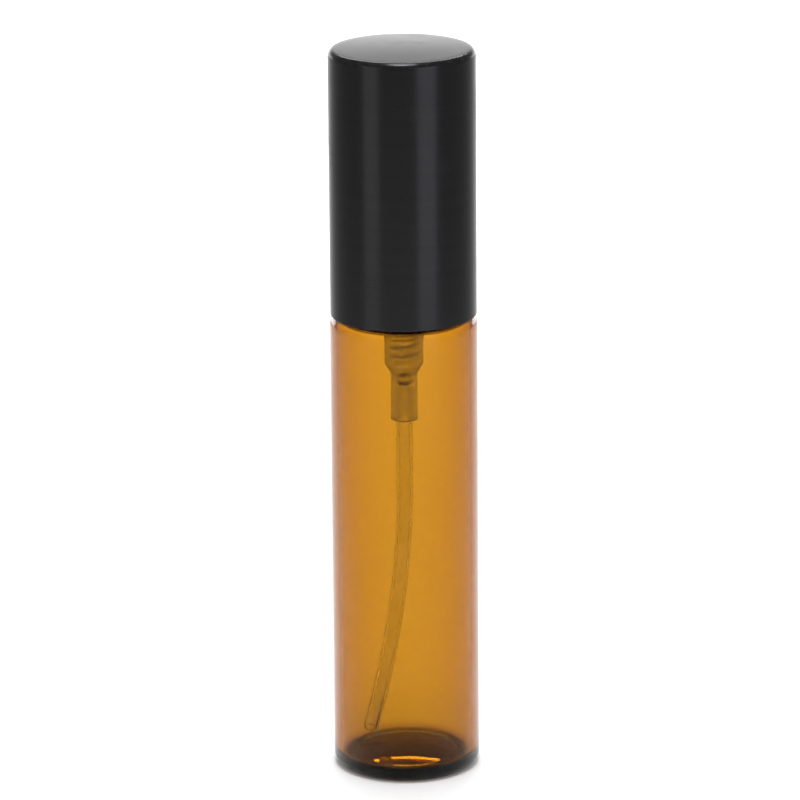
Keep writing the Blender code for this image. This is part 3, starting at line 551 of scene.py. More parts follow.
def turned(name, corners, segments, material, rows=None, turn=None):
    """A solid of revolution from a closed outline. rows = (radius, low, high) gets the dense rings
    that a thread is raised from, and turn is a matrix that places the finished solid."""
    points = outline(corners)
    if rows:
        points = with_rows(points, *rows)
    bm = bmesh.new()
    edge = bm.verts.layers.float.new("edge")
    band = bm.verts.layers.float.new("band")
    rings = []
    for x, z, rounded in points:
        if x < 1e-9:
            ring = [bm.verts.new((0.0, 0.0, z))]
        else:
            angles = [math.tau * k / segments for k in range(segments)]
            ring = [bm.verts.new((x * math.cos(a), x * math.sin(a), z)) for a in angles]
        threaded = rows and abs(x - rows[0]) < 1e-9 and rows[1] <= z <= rows[2]
        for vert in ring:
            vert[edge] = rounded
            vert[band] = 1.0 if threaded else 0.0
        rings.append(ring)
    for first, second in zip(rings, rings[1:] + rings[:1]):
        if len(first) == len(second) == 1:
            continue
        for k in range(segments):
            below = [first[k % len(first)], first[(k + 1) % len(first)]]
            above = [second[(k + 1) % len(second)], second[k % len(second)]]
            bm.faces.new(list(dict.fromkeys(below + above)))
    if turn:
        bmesh.ops.transform(bm, matrix=turn, verts=bm.verts)
    return made(name, bm, material)


def with_rows(points, wall_r, bottom, top):
    """The outline with even rings between bottom and top on the straight wall at wall_r."""
    out = []
    for here, following in zip(points, points[1:] + points[:1]):
        out.append(here)
        on_wall = abs(here[0] - wall_r) < 1e-9 and abs(following[0] - wall_r) < 1e-9
        if not on_wall or abs(here[1] - following[1]) < 10 * THREAD_ROW:
            continue
        start, end = (bottom, top) if following[1] > here[1] else (top, bottom)
        count = round(abs(end - start) / THREAD_ROW)
        out += [(wall_r, start + (end - start) * k / count, 0.0) for k in range(count + 1)]
    return out


# ---------------------------------------------------------------- geometry node trees


def geometry_tree(name, inputs):
    """A geometry node tree with named inputs and a material input, as (tree, graph, entry node)."""
    tree = bpy.data.node_groups.new(name, "GeometryNodeTree")
    tree.interface.new_socket("Geometry", in_out="INPUT", socket_type="NodeSocketGeometry")
    for label, value in inputs:
        kind = "NodeSocketInt" if isinstance(value, int) else "NodeSocketFloat"
        tree.interface.new_socket(label, in_out="INPUT", socket_type=kind).default_value = value
    tree.interface.new_socket("Material", in_out="INPUT", socket_type="NodeSocketMaterial")
    tree.interface.new_socket("Geometry", in_out="OUTPUT", socket_type="NodeSocketGeometry")
    return tree, Graph(tree), tree.nodes.new("NodeGroupInput")


def close_tree(tree, g, entry, geometry):
    """Ends a tree in Realize Instances and Set Material."""
    realized = g.node("GeometryNodeRealizeInstances")
    g.link(geometry, realized.inputs["Geometry"])
    painted = g.node("GeometryNodeSetMaterial")
    g.link(realized.outputs[0], painted.inputs["Geometry"])
    g.link(entry.outputs["Material"], painted.inputs["Material"])
    g.link(painted.outputs[0], tree.nodes.new("NodeGroupOutput").inputs[0])


def grow(obj, tree, material, **values):
    """Runs a tree on an object and keeps the result as its plain mesh."""
    values = {key.replace("_", " "): value for key, value in values.items()}
    values["Material"] = material
    modifier = obj.modifiers.new(tree.name, "NODES")
    modifier.node_group = tree
    for item in tree.interface.items_tree:
        if item.in_out == "INPUT" and item.name in values:
            modifier[item.identifier] = values[item.name]
    bpy.context.view_layer.update()
    evaluated = obj.evaluated_get(bpy.context.evaluated_depsgraph_get())
    mesh = bpy.data.meshes.new_from_object(evaluated)
    obj.modifiers.remove(modifier)
    obj.data = mesh
    mesh.shade_smooth()
    mesh.set_sharp_from_angle(angle=SHARP)
    return obj


def screw_thread_tree():
    """Raises a helical ridge out of the wall points that carry the band attribute."""
    tree, g, entry = geometry_tree(
        "screw_thread",
        [("Ridge", 0.001), ("Foot", 0.0), ("Pitch", 0.002), ("Turns", 1.5),
         ("Root Width", 0.001), ("Crest Width", 0.0005), ("Fade", 0.1)],
    )
    into = entry.outputs
    split = g.node("ShaderNodeSeparateXYZ")
    g.link(g.node("GeometryNodeInputPosition").outputs[0], split.inputs[0])
    x, y, z = split.outputs
    around = g.math("FRACT", g.math("DIVIDE", g.math("ARCTAN2", y, x), math.tau))
    lift = g.math("DIVIDE", g.math("SUBTRACT", z, into["Foot"]), into["Pitch"])
    offset = g.math("SUBTRACT", lift, around)
    coil = g.math("ROUND", offset)
    along = g.math("ADD", coil, around)
    away = g.math("MULTIPLY", g.math("ABSOLUTE", g.math("SUBTRACT", offset, coil)), into["Pitch"])
    root = g.math("MULTIPLY", into["Root Width"], 0.5)
    crest = g.math("MULTIPLY", into["Crest Width"], 0.5)
    flank = g.math("DIVIDE", g.math("SUBTRACT", root, away), g.math("SUBTRACT", root, crest), clamp=True)
    entering = g.math("DIVIDE", along, into["Fade"], clamp=True)
    leaving = g.math("DIVIDE", g.math("SUBTRACT", into["Turns"], along), into["Fade"], clamp=True)
    rise = g.math("MULTIPLY", flank, g.math("MULTIPLY", entering, leaving))
    soft = g.node("ShaderNodeMapRange", interpolation_type="SMOOTHSTEP")
    g.link(rise, soft.inputs["Value"])
    size = g.math("MULTIPLY", soft.outputs["Result"], into["Ridge"])
    outward = g.node("ShaderNodeVectorMath", operation="NORMALIZE")
    flat = g.node("ShaderNodeCombineXYZ")
    g.feed(flat, {0: x, 1: y})
    g.link(flat.outputs[0], outward.inputs[0])
    push = g.node("ShaderNodeVectorMath", operation="SCALE")
    g.link(outward.outputs[0], push.inputs[0])
    g.link(size, push.inputs["Scale"])
    band = g.node("GeometryNodeInputNamedAttribute", data_type="FLOAT")
    band.inputs["Name"].default_value = "band"
    picked = g.node("FunctionNodeCompare", data_type="FLOAT", operation="GREATER_THAN")
    g.feed(picked, {0: band.outputs["Attribute"], 1: 0.5})
    moved = g.node("GeometryNodeSetPosition")
    g.link(into["Geometry"], moved.inputs["Geometry"])
    g.link(picked.outputs[0], moved.inputs["Selection"])
    g.link(push.outputs[0], moved.inputs["Offset"])
    close_tree(tree, g, entry, moved.outputs[0])
    return tree


def coil_spring_tree():
    """A compression spring with closed ends, swept along a helix about the Z axis."""
    tree, g, entry = geometry_tree(
        "coil_spring",
        [("Mean Radius", 0.001), ("Wire Radius", 0.0002), ("Foot", 0.0), ("Top", 0.01),
         ("Turns", 8.5), ("Dead Turns", 0.8), ("Steps", 400), ("Sides", 14)],
    )
    into = entry.outputs
    line = g.node("GeometryNodeCurvePrimitiveLine")
    fine = g.node("GeometryNodeResampleCurve")
    g.link(line.outputs[0], fine.inputs["Curve"])
    g.link(into["Steps"], fine.inputs["Count"])
    turn = g.math("MULTIPLY", g.node("GeometryNodeSplineParameter").outputs["Factor"], into["Turns"])
    angle = g.math("MULTIPLY", turn, math.tau)
    dead = into["Dead Turns"]
    live_span = g.math("SUBTRACT", into["Turns"], g.math("MULTIPLY", dead, 2.0))
    live = g.math("DIVIDE", g.math("SUBTRACT", turn, dead), live_span, clamp=True)
    last_dead = g.math("ADD", g.math("SUBTRACT", turn, into["Turns"]), dead)
    closed = g.math("ADD", g.math("MINIMUM", turn, dead), g.math("MAXIMUM", last_dead, 0.0))
    wire = g.math("MULTIPLY", into["Wire Radius"], 2.0)
    dead_pitch = g.math("MULTIPLY", wire, 1.1)
    free = g.math("SUBTRACT", g.math("SUBTRACT", into["Top"], into["Foot"]), wire)
    live_rise = g.math("SUBTRACT", free, g.math("MULTIPLY", g.math("MULTIPLY", dead_pitch, dead), 2.0))
    climb = g.math("ADD", g.math("MULTIPLY", closed, dead_pitch), g.math("MULTIPLY", live, live_rise))
    height = g.math("ADD", g.math("ADD", into["Foot"], into["Wire Radius"]), climb)
    helix = g.node("ShaderNodeCombineXYZ")
    across = g.math("MULTIPLY", g.math("COSINE", angle), into["Mean Radius"])
    depth = g.math("MULTIPLY", g.math("SINE", angle), into["Mean Radius"])
    g.feed(helix, {0: across, 1: depth, 2: height})
    laid = g.node("GeometryNodeSetPosition")
    g.link(fine.outputs[0], laid.inputs["Geometry"])
    g.link(helix.outputs[0], laid.inputs["Position"])
    section = g.node("GeometryNodeCurvePrimitiveCircle")
    g.link(into["Sides"], section.inputs["Resolution"])
    g.link(into["Wire Radius"], section.inputs["Radius"])
    drawn = g.node("GeometryNodeCurveToMesh")
    g.link(laid.outputs[0], drawn.inputs["Curve"])
    g.link(section.outputs["Curve"], drawn.inputs["Profile Curve"])
    drawn.inputs["Fill Caps"].default_value = True
    close_tree(tree, g, entry, drawn.outputs[0])
    return tree


def grip_ribs_tree():
    """Upright half-round ribs, set evenly round the inside of a cup and joined to its wall."""
    tree, g, entry = geometry_tree(
        "grip_ribs",
        [("Count", 6), ("Wall Radius", 0.008), ("Rib Height", 0.0002), ("Rib Width", 0.0005),
         ("Rib Length", 0.009), ("Foot", 0.0)],
    )
    into = entry.outputs
    ring = g.node("GeometryNodeMeshCircle")
    g.link(into["Count"], ring.inputs["Vertices"])
    g.link(into["Wall Radius"], ring.inputs["Radius"])
    rib = g.node("GeometryNodeMeshCylinder")
    half_width = g.math("MULTIPLY", into["Rib Width"], 0.5)
    g.feed(rib, {"Vertices": 24, "Radius": half_width, "Depth": into["Rib Length"]})
    shaped = g.node("GeometryNodeTransform")
    g.link(rib.outputs[0], shaped.inputs["Geometry"])
    stretch = g.node("ShaderNodeCombineXYZ")
    ratio = g.math("DIVIDE", g.math("MULTIPLY", into["Rib Height"], 2.0), into["Rib Width"])
    g.feed(stretch, {0: ratio, 1: 1.0, 2: 1.0})
    g.link(stretch.outputs[0], shaped.inputs["Scale"])
    middle = g.math("ADD", into["Foot"], g.math("MULTIPLY", into["Rib Length"], 0.5))
    spot = g.node("ShaderNodeCombineXYZ")
    g.link(middle, spot.inputs[2])
    g.link(spot.outputs[0], shaped.inputs["Translation"])
    place = g.node("ShaderNodeSeparateXYZ")
    g.link(g.node("GeometryNodeInputPosition").outputs[0], place.inputs[0])
    facing = g.node("ShaderNodeCombineXYZ")
    g.link(g.math("ARCTAN2", place.outputs[1], place.outputs[0]), facing.inputs[2])
    copies = g.node("GeometryNodeInstanceOnPoints")
    g.link(ring.outputs[0], copies.inputs["Points"])
    g.link(shaped.outputs[0], copies.inputs["Instance"])
    g.link(facing.outputs[0], copies.inputs["Rotation"])
    whole = g.node("GeometryNodeRealizeInstances")
    g.link(copies.outputs[0], whole.inputs[0])
    joined = g.node("GeometryNodeMeshBoolean", operation="UNION", solver="EXACT")
    g.link(into["Geometry"], joined.inputs["Mesh 2"])
    g.link(whole.outputs[0], joined.inputs["Mesh 2"])
    close_tree(tree, g, entry, joined.outputs[0])
    return tree


# ---------------------------------------------------------------- pieces


def settle(obj, body, node):
    """Hangs a piece on the body it rides on and hides the frame's part that it stands for."""
    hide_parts(node)
    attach(obj, body)


def bottle(thread):
    inner_r = bottle_r - GLASS_WALL
    ceiling = shoulder - SHOULDER_THICKNESS
    ring_r = bottle_r - HEEL_RADIUS - STANDING_RING
    floor_r = inner_r - INNER_HEEL_RADIUS
    top_row = neck_top - NECK_LIP
    corners = list(reversed(dome(ring_r, PUSH_UP, 0.0))) + [
        (ring_r, 0.0, 0.25 * MM),
        (bottle_r, 0.0, HEEL_RADIUS),
        (bottle_r, shoulder, SHOULDER_RADIUS),
        (neck_r, shoulder, 0.5 * MM),
        (neck_r, neck_top, 0.4 * MM),
        (neck_bore_r, neck_top, 0.3 * MM),
        (neck_bore_r, ceiling, 0.6 * MM),
        (inner_r, ceiling, INNER_SHOULDER_RADIUS),
        (inner_r, FLOOR_THICKNESS, INNER_HEEL_RADIUS),
        (floor_r - SUPPORT, FLOOR_THICKNESS, 0),
    ] + dome(floor_r - SUPPORT, PUSH_UP, FLOOR_THICKNESS)
    rows = (neck_r, thread_foot - THREAD_ROOT, top_row)
    obj = turned("bottle_amber_tube", corners, WIDE_TURN, GLASS, rows)
    grow(obj, thread, GLASS, Ridge=THREAD_DEPTH, Foot=thread_foot, Pitch=THREAD_PITCH, Turns=THREAD_TURNS,
         Root_Width=THREAD_ROOT, Crest_Width=THREAD_CREST, Fade=THREAD_FADE)
    settle(obj, "bottle", "glass_bottle")


def closure(thread):
    rim = low("screw_closure")
    corners = [
        (closure_r, collar_z + CLOSURE_TOP, 0.4 * MM),
        (closure_hole_r, collar_z + CLOSURE_TOP, 0.1 * MM),
        (closure_hole_r, collar_z, 0.05 * MM),
        (closure_bore_r, collar_z, 0.3 * MM),
        (closure_bore_r, rim, 0.1 * MM),
        (closure_r, rim, 0.1 * MM),
    ]
    foot = thread_foot - THREAD_PITCH / 2
    rows = (closure_bore_r, foot - THREAD_ROOT, foot + THREAD_TURNS * THREAD_PITCH + THREAD_ROOT)
    obj = turned("closure_cap", corners, WIDE_TURN, WHITE, rows)
    ridge = neck_r + CREST_FLOAT - closure_bore_r
    grow(obj, thread, WHITE, Ridge=ridge, Foot=foot, Pitch=THREAD_PITCH, Turns=THREAD_TURNS,
         Root_Width=THREAD_ROOT, Crest_Width=THREAD_CREST, Fade=THREAD_FADE)
    settle(obj, "collar", "screw_closure")


def collar():
    top = high("collar_sleeve")
    rim = low("collar_sleeve")
    hole_r = closure_hole_r + COLLAR_LIP
    inner_r = collar_r - COLLAR_SKIN
    corners = [
        (collar_r, top, COLLAR_EDGE),
        (hole_r, top, 0.1 * MM),
        (hole_r, top - COLLAR_SKIN, 0.1 * MM),
        (inner_r, top - COLLAR_SKIN, COLLAR_EDGE - COLLAR_SKIN),
        (inner_r, rim, 0.1 * MM),
        (collar_r, rim, 0.1 * MM),
    ]
    settle(turned("collar_skin", corners, WIDE_TURN, ANODISED), "collar", "collar_sleeve")


def overcap(ribs):
    top = high("overcap_shell")
    rim = low("overcap_shell")
    outer_r = radius("overcap_shell")
    inner_r = outer_r - OVERCAP_SKIN
    crown = [(outer_r * 0.9 * k / 12, top - OVERCAP_CROWN * (k / 12) ** 2, 0) for k in range(12)]
    corners = crown + [
        (outer_r, top - OVERCAP_CROWN * 1.2, OVERCAP_EDGE),
        (outer_r, rim, 0.12 * MM),
        (inner_r, rim, 0.12 * MM),
        (inner_r, top - OVERCAP_SKIN, OVERCAP_EDGE - OVERCAP_SKIN),
        (0.0, top - OVERCAP_SKIN, 0),
    ]
    settle(turned("overcap_skin", corners, WIDE_TURN, ANODISED), "overcap", "overcap_shell")
    cup_top = high("overcap_liner")
    cup_rim = low("overcap_liner")
    cup_r = radius("overcap_liner")
    bore_r = cup_r - LINER_WALL
    corners = [
        (0.0, cup_top, 0),
        (cup_r, cup_top, OVERCAP_EDGE),
        (cup_r, cup_rim, 0.1 * MM),
        (bore_r, cup_rim, 0.3 * MM),
        (bore_r, cup_top - LINER_TOP, OVERCAP_EDGE),
        (0.0, cup_top - LINER_TOP, 0),
    ]
    cup = turned("overcap_cup", corners, WIDE_TURN, WHITE)
    grow(cup, ribs, WHITE, Count=RIB_COUNT, Wall_Radius=bore_r, Rib_Height=RIB_HEIGHT, Rib_Width=RIB_WIDTH,
         Rib_Length=RIB_LENGTH, Foot=cup_rim + RIB_LEAD)
    settle(cup, "overcap", "overcap_liner")


def washers():
    hole_r = HOUSING_NECK_RADIUS + GUIDE_GAP
    top, foot = high("neck_gasket"), low("neck_gasket")
    edge = 0.12 * MM
    corners = [(flange_r, top, edge), (hole_r, top, edge), (hole_r, foot, edge), (flange_r, foot, edge)]
    settle(turned("foam_washer", corners, WIDE_TURN, FOAM), "pump", "neck_gasket")
    top, foot = high("stem_seal"), low("stem_seal")
    outer_r = radius("stem_seal")
    hole_r = stem_r + SLIDE_GAP
    corners = [(outer_r, top, edge), (hole_r, top, edge), (hole_r, foot, edge), (outer_r, foot, edge)]
    settle(turned("stem_washer", corners, NARROW_TURN, RUBBER), "pump", "stem_seal")


def barrel():
    """The pump housing: flange, neck, barrel, ball pocket and dip-tube socket."""
    seal_ledge = pump_z - SEAL_POCKET_DEPTH
    barrel_r = BARREL_BORE_RADIUS + HOUSING_WALL
    lip_r = ball_r - LIP_OVERLAP
    pocket_r = ball_r + BALL_CLEARANCE
    pocket_top = spring_ledge - LIP_THICKNESS
    ball_z = (low("check_ball") + high("check_ball")) / 2
    contact = ball_r * math.sin(math.radians(45.0))
    cone_foot = ball_z - SEAT_GAP - contact - (contact - THROAT_RADIUS)
    cone_top = cone_foot + pocket_r - THROAT_RADIUS
    socket_r = TUBE_RADIUS + PRESS_GAP
    tail_r = socket_r + TAIL_WALL
    foot = low("pump_housing")
    barrel_foot = spring_ledge - BARREL_FLOOR
    corners = [
        (flange_r, pump_z + FLANGE_THICKNESS, 0.15 * MM),
        (SEAL_POCKET_RADIUS, pump_z + FLANGE_THICKNESS, 0.1 * MM),
        (SEAL_POCKET_RADIUS, seal_ledge, 0),
        (BARREL_BORE_RADIUS, seal_ledge, 0.05 * MM),
        (BARREL_BORE_RADIUS, spring_ledge, 0),
        (lip_r, spring_ledge, 0.1 * MM),
        (lip_r, pocket_top, 0.1 * MM),
        (pocket_r, pocket_top, 0),
        (pocket_r, cone_top, 0),
        (THROAT_RADIUS, cone_foot, 0),
        (THROAT_RADIUS, foot + SOCKET_LENGTH, 0),
        (socket_r, foot + SOCKET_LENGTH, 0),
        (socket_r, foot, 0.1 * MM),
        (tail_r + TAIL_FLARE, foot, 0.2 * MM),
        (tail_r, foot + 4 * TAIL_FLARE, 0.3 * MM),
        (tail_r, barrel_foot - TAIL_CONE_LENGTH, 0.4 * MM),
        (barrel_r, barrel_foot, 0.4 * MM),
        (barrel_r, pump_z - HOUSING_NECK_LENGTH - HOUSING_CONE_LENGTH, 0.3 * MM),
        (HOUSING_NECK_RADIUS, pump_z - HOUSING_NECK_LENGTH, 0.3 * MM),
        (HOUSING_NECK_RADIUS, pump_z, 0.15 * MM),
        (flange_r, pump_z, 0.15 * MM),
    ]
    settle(turned("pump_barrel", corners, NARROW_TURN, MILKY), "pump", "pump_housing")


def turret():
    top, foot = high("housing_turret"), low("housing_turret")
    head_foot = pump_z + FLANGE_THICKNESS + SEAT_GAP
    plug_r = SEAL_POCKET_RADIUS - SEAT_GAP
    hole_r = stem_r + GUIDE_GAP
    corners = [
        (turret_r, top, 0.5 * MM),
        (hole_r, top, 0.2 * MM),
        (hole_r, foot, 0.1 * MM),
        (plug_r, foot, 0.15 * MM),
        (plug_r, head_foot, 0),
        (turret_r, head_foot, 0.1 * MM),
    ]
    settle(turned("turret_bush", corners, NARROW_TURN, WHITE), "pump", "housing_turret")


def inlet_ball():
    bm = bmesh.new()
    centre = Matrix.Translation((0.0, 0.0, (low("check_ball") + high("check_ball")) / 2))
    bmesh.ops.create_icosphere(bm, subdivisions=5, radius=ball_r, matrix=centre)
    settle(made("inlet_ball", bm, BALL_STEEL), "check_ball", "check_ball")


def stem():
    top, foot = high("pump_stem"), low("pump_stem")
    socket_top = foot + POPPET_PIN_INSERT + SEAT_GAP
    pin_socket_r = POPPET_PIN_RADIUS + PRESS_GAP
    corners = [
        (stem_r, top, 0.15 * MM),
        (STEM_BORE_RADIUS, top, 0.1 * MM),
        (STEM_BORE_RADIUS, socket_top, 0),
        (pin_socket_r, socket_top, 0),
        (pin_socket_r, foot, 0.05 * MM),
        (stem_r, foot, 0.05 * MM),
    ]
    settle(turned("hollow_stem", corners, NARROW_TURN, WHITE), "stem", "pump_stem")


def poppet():
    flange = radius("stem_poppet")
    guide_r = spring_mean_r - SPRING_WIRE / 2 - GUIDE_PIN_CLEARANCE
    bore_foot = stem_z + INLET_PORT_HEIGHT - 2 * INLET_PORT_RADIUS
    under = stem_z - POPPET_FLANGE
    corners = [
        (POPPET_PIN_RADIUS, high("stem_poppet"), 0.1 * MM),
        (POPPET_BORE_RADIUS, high("stem_poppet"), 0),
        (POPPET_BORE_RADIUS, bore_foot, 0.05 * MM),
        (0.0, bore_foot, 0),
        (0.0, under - GUIDE_PIN_LENGTH, 0),
        (guide_r, under - GUIDE_PIN_LENGTH, 0.2 * MM),
        (guide_r, under, 0.1 * MM),
        (flange, under, 0.1 * MM),
        (flange, stem_z, 0.1 * MM),
        (POPPET_PIN_RADIUS, stem_z, 0.05 * MM),
    ]
    obj = turned("stem_foot", corners, NARROW_TURN, WHITE)
    reach = POPPET_PIN_RADIUS * 2
    port = [(INLET_PORT_RADIUS, reach, 0), (0.0, reach, 0), (0.0, -reach, 0), (INLET_PORT_RADIUS, -reach, 0)]
    across = Matrix.Translation((0.0, 0.0, stem_z + INLET_PORT_HEIGHT)) @ Matrix.Rotation(math.pi / 2, 4, "X")
    drill = turned("inlet_drill", port, 32, WHITE, turn=across)
    cut(obj, [drill])
    settle(obj, "stem", "stem_poppet")


def cut(obj, drills):
    """Takes drills out of an object and deletes them."""
    for drill in drills:
        modifier = obj.modifiers.new("bore", "BOOLEAN")
        modifier.operation = "DIFFERENCE"
        modifier.solver = "EXACT"
        modifier.object = drill
    bpy.context.view_layer.update()
    evaluated = obj.evaluated_get(bpy.context.evaluated_depsgraph_get())
    mesh = bpy.data.meshes.new_from_object(evaluated)
    obj.modifiers.clear()
    obj.data = mesh
    mesh.shade_smooth()
    mesh.set_sharp_from_angle(angle=SHARP)
    for drill in drills:
        bpy.data.objects.remove(drill, do_unlink=True)


def piston():
    bore_r = POPPET_PIN_RADIUS + SEAT_GAP
    lip_r = BARREL_BORE_RADIUS - SLIDE_GAP
    waist_r = lip_r - PISTON_WAIST
    cup_r = stem_r + GUIDE_GAP
    hub_r = bore_r + PISTON_WALL
    hub_top = stem_z + STEM_LOWER_SPAN - PISTON_SLIP - SEAT_GAP
    foot, top = low("piston"), high("piston")
    lower_lip = foot + 0.1 * MM
    corners = [
        (lip_r, top - PISTON_LIP, 0),
        (lip_r - PISTON_LIP, top, 0.03 * MM),
        (cup_r, hub_top, 0.1 * MM),
        (bore_r, hub_top, 0.05 * MM),
        (bore_r, foot, 0.05 * MM),
        (hub_r, foot, 0.05 * MM),
        (hub_r, foot + PISTON_WALL, 0.1 * MM),
        (lip_r - PISTON_LIP, lower_lip, 0.03 * MM),
        (lip_r, lower_lip + PISTON_LIP, 0),
        (waist_r, lower_lip + PISTON_WALL, 0.2 * MM),
        (waist_r, top - PISTON_LIP - PISTON_WALL, 0.2 * MM),
    ]
    settle(turned("lip_piston", corners, NARROW_TURN, WHITE), "piston", "piston")


def spring(coil):
    mesh = bpy.data.meshes.new("coil_spring_piece")
    obj = bpy.data.objects.new("coil_spring_piece", mesh)
    bpy.context.scene.collection.objects.link(obj)
    foot = spring_ledge + SEAT_GAP
    top = stem_z - POPPET_FLANGE - SEAT_GAP
    grow(obj, coil, STEEL, Mean_Radius=spring_mean_r, Wire_Radius=SPRING_WIRE / 2, Foot=foot, Top=top,
         Turns=SPRING_TURNS, Dead_Turns=SPRING_DEAD_TURNS, Steps=SPRING_STEPS, Sides=SPRING_SIDES)
    settle(obj, "pump", "return_spring")
    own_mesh(obj)


def dip_tube():
    """Straight out of the housing, then curling to the wall, cut off just over the floor."""
    housing_foot = low("pump_housing")
    top = housing_foot + SOCKET_LENGTH - SEAT_GAP
    foot = FLOOR_THICKNESS + PUSH_UP + TUBE_FLOOR_GAP
    bend_top = housing_foot - TUBE_STRAIGHT
    reach = bottle_r - GLASS_WALL - TUBE_WALL_GAP - TUBE_RADIUS
    heading = Vector((math.cos(TUBE_HEADING), math.sin(TUBE_HEADING), 0.0))
    across = Vector((-heading.y, heading.x, 0.0))
    heights = [top, top - SUPPORT, housing_foot, bend_top + SUPPORT]
    heights += [bend_top + (foot - bend_top) * k / TUBE_STEPS for k in range(TUBE_STEPS + 1)]
    sides = [math.tau * k / TUBE_SIDES for k in range(TUBE_SIDES)]
    bm = bmesh.new()

    def ring(height, wall_r):
        share = max((bend_top - height) / (bend_top - foot), 0.0)
        slope = reach * TUBE_BEND_POWER * share ** (TUBE_BEND_POWER - 1) / (bend_top - foot)
        axis = (heading * slope - Vector((0.0, 0.0, 1.0))).normalized()
        out = axis.cross(across)
        centre = heading * reach * share ** TUBE_BEND_POWER + Vector((0.0, 0.0, height))
        return [bm.verts.new(centre + (across * math.cos(a) + out * math.sin(a)) * wall_r) for a in sides]

    loops = [ring(height, TUBE_RADIUS) for height in heights]
    loops += [ring(height, TUBE_BORE_RADIUS) for height in reversed(heights)]
    for first, second in zip(loops, loops[1:] + loops[:1]):
        for k in range(TUBE_SIDES):
            following = (k + 1) % TUBE_SIDES
            bm.faces.new((first[k], first[following], second[following], second[k]))
    settle(made("suction_tube", bm, TUBING), "pump", "dip_tube")


def push_button():
    top = high("actuator_core")
    foot = low("actuator_core")
    cavity_top = foot + CORE_CAVITY_DEPTH
    socket_r = stem_r + TURN_GAP
    hub_foot = head_z + HUB_RECESS
    socket_top = hub_foot + STEM_SOCKET_DEPTH
    hub_r = socket_r + HUB_WALL
    skirt_r = core_r - CORE_WALL
    corners = [
        (0.0, top, 0),
        (core_r, top, HEAD_EDGE),
        (core_r, foot, 0.1 * MM),
        (skirt_r, foot, 0.1 * MM),
        (skirt_r, cavity_top, 0.3 * MM),
        (hub_r, cavity_top, 0.3 * MM),
        (hub_r, hub_foot, 0.1 * MM),
        (socket_r, hub_foot, 0.15 * MM),
        (socket_r, socket_top, 0.1 * MM),
        (CHANNEL_RADIUS, socket_top, 0),
        (CHANNEL_RADIUS, nozzle_z, 0),
        (0.0, nozzle_z, 0),
    ]
    spray = Matrix.Translation((0.0, 0.0, nozzle_z)) @ Matrix.Rotation(math.pi / 2, 4, "X")
    core = turned("button_core", corners, WIDE_TURN, WHITE)
    pocket_r = nozzle_r + PRESS_GAP
    pocket_foot = nozzle_face - NOZZLE_LENGTH - SEAT_GAP
    bore_r = CHANNEL_RADIUS * 0.8
    bore = [
        (0.0, head_r, 0),
        (pocket_r, head_r, 0),
        (pocket_r, pocket_foot, 0),
        (bore_r, pocket_foot, 0),
        (bore_r, 0.0, 0),
        (0.0, 0.0, 0),
    ]
    cut(core, [turned("pocket_drill", bore, NARROW_TURN, WHITE, turn=spray)])
    settle(core, "head", "actuator_core")

    inner_r = head_r - HEAD_SKIN
    corners = [
        (0.0, head_top, 0),
        (head_r, head_top, HEAD_EDGE),
        (head_r, head_z, 0.1 * MM),
        (inner_r, head_z, 0.1 * MM),
        (inner_r, head_top - HEAD_SKIN, HEAD_EDGE - HEAD_SKIN),
        (0.0, head_top - HEAD_SKIN, 0),
    ]
    skin = turned("button_skin", corners, WIDE_TURN, ANODISED)
    window_r = nozzle_r + NOZZLE_WINDOW_GAP
    window = [(0.0, 2 * head_r, 0), (window_r, 2 * head_r, 0), (window_r, 0.0, 0), (0.0, 0.0, 0)]
    cut(skin, [turned("window_drill", window, NARROW_TURN, ANODISED, turn=spray)])
    settle(skin, "head", "actuator_shell")

    cup_r = nozzle_r - NOZZLE_WALL
    tip = [
        (nozzle_r, nozzle_face, 0.15 * MM),
        (NOZZLE_ORIFICE_RADIUS * 3, nozzle_face, 0.05 * MM),
        (NOZZLE_ORIFICE_RADIUS, nozzle_face - NOZZLE_FACE / 2, 0),
        (NOZZLE_ORIFICE_RADIUS, nozzle_face - NOZZLE_FACE, 0),
        (cup_r, nozzle_face - NOZZLE_FACE, 0.1 * MM),
        (cup_r, nozzle_face - NOZZLE_LENGTH, 0.05 * MM),
        (nozzle_r, nozzle_face - NOZZLE_LENGTH, 0.1 * MM),
    ]
    insert = turned("spray_insert", tip, NARROW_TURN, WHITE, turn=spray)
    settle(insert, "head", "nozzle_insert")


# ---------------------------------------------------------------- studio


def floor():
    """A wide, plain, pale ground."""
    bpy.ops.mesh.primitive_grid_add(x_subdivisions=4, y_subdivisions=4, size=8.0)
    ground = bpy.context.object
    ground.name = "studio_floor"
    material, g, shader = finish("pale_floor", {"Specular IOR Level": 0.2})
    place = g.node("ShaderNodeTexCoord").outputs["Object"]
    mottle = g.noise(place, 18.0, 3.0)
    g.link(g.blend(mottle, (0.9, 0.9, 0.9, 1.0), (0.93, 0.93, 0.93, 1.0)), shader.inputs["Base Color"])
    g.link(g.remap(mottle, 0.3, 0.7, 0.7, 0.8), shader.inputs["Roughness"])
    ground.data.materials.append(material)


def soft_box(name, spot, aim, width, height, radiance, spread=180.0, colour=(1.0, 1.0, 1.0)):
    """An area light of a given radiance that faces a point and isn't seen by the camera."""
    light = bpy.data.lights.new(name, "AREA")
    light.shape = "RECTANGLE"
    light.size = width
    light.size_y = height
    light.energy = radiance * math.pi * width * height
    light.spread = math.radians(spread)
    light.color = colour
    obj = bpy.data.objects.new(name, light)
    bpy.context.scene.collection.objects.link(obj)
    obj.location = spot
    obj.rotation_euler = (Vector(aim) - Vector(spot)).to_track_quat("-Z", "Y").to_euler()
    obj.visible_camera = False
    return obj


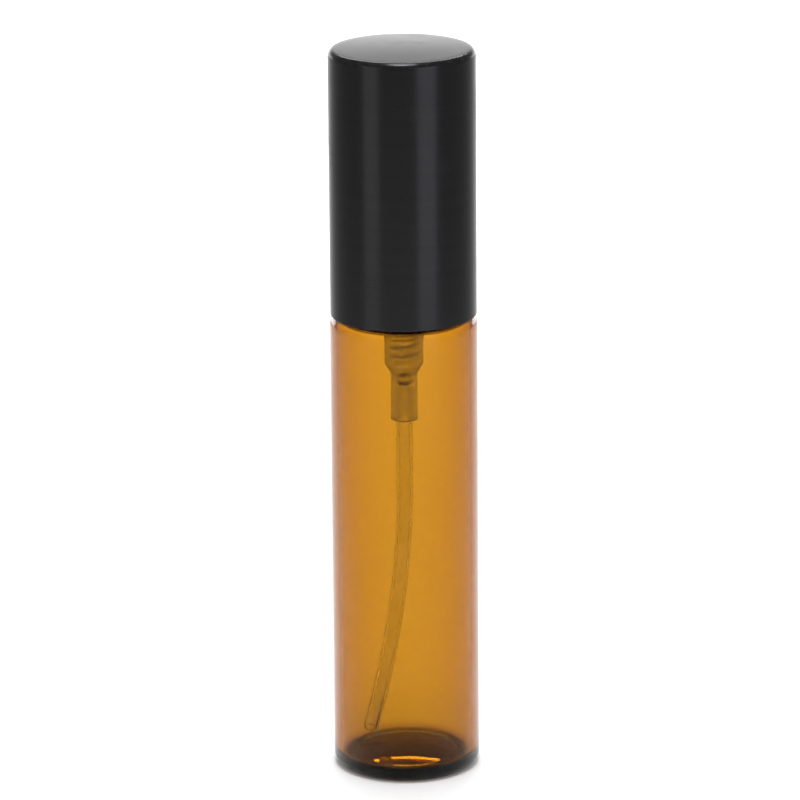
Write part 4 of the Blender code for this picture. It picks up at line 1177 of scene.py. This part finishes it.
def around(degrees, distance, height):
    """A spot at an angle to the right of the camera, seen from the object."""
    turn = math.radians(degrees)
    return (distance * math.sin(turn), -distance * math.cos(turn), height)


def studio():
    world = bpy.data.worlds.new("white_surround")
    world.use_nodes = True
    world.node_tree.nodes["Background"].inputs["Color"].default_value = (1.0, 1.0, 1.0, 1.0)
    world.node_tree.nodes["Background"].inputs["Strength"].default_value = SURROUND
    bpy.context.scene.world = world
    middle = (0.0, 0.0, 0.05)
    soft_box("ground_wash", (0.0, 0.2, 0.7), (0.0, 0.2, 0.0), 0.16, 0.9, 1.6, 50.0)
    back = soft_box("back_box", (0.0, 0.6, 0.11), (0.0, 0.0, 0.09), 1.2, 0.2, 3.4)
    back.visible_transmission = False  # or its edge would show through the glass
    soft_box("top_box", (0.0, 0.5, 0.38), middle, 0.3, 0.025, 36.0)
    soft_box("left_strip", around(-49.0, 0.2, 0.08), middle, 0.09, 0.2, 1.0)
    soft_box("right_strip", around(38.0, 0.2, 0.08), middle, 0.11, 0.2, 1.5, colour=(0.88, 0.91, 1.0))


def camera():
    """A long lens from the front, a little above, turned by the slight lean of the view."""
    lens = bpy.data.cameras.new("view_camera")
    lens.sensor_width = 36.0
    lens.lens = LENS
    lens.clip_start = 0.01
    lens.clip_end = 20.0
    obj = bpy.data.objects.new("view_camera", lens)
    bpy.context.scene.collection.objects.link(obj)
    aim = Vector(CAMERA_AIM)
    back = Vector((0.0, -math.cos(CAMERA_RISE), math.sin(CAMERA_RISE)))
    obj.location = aim + back * CAMERA_DISTANCE
    look = (aim - obj.location).to_track_quat("-Z", "Y").to_matrix().to_4x4()
    roll = Matrix.Rotation(CAMERA_ROLL, 4, "Z")
    obj.rotation_euler = (look @ roll).to_euler()
    bpy.context.scene.camera = obj


def build():
    thread = screw_thread_tree()
    bottle(thread)
    closure(thread)
    collar()
    overcap(grip_ribs_tree())
    washers()
    barrel()
    turret()
    inlet_ball()
    stem()
    poppet()
    piston()
    spring(coil_spring_tree())
    dip_tube()
    push_button()
    floor()
    studio()
    camera()
    bpy.context.scene.view_settings.view_transform = "Standard"


build()
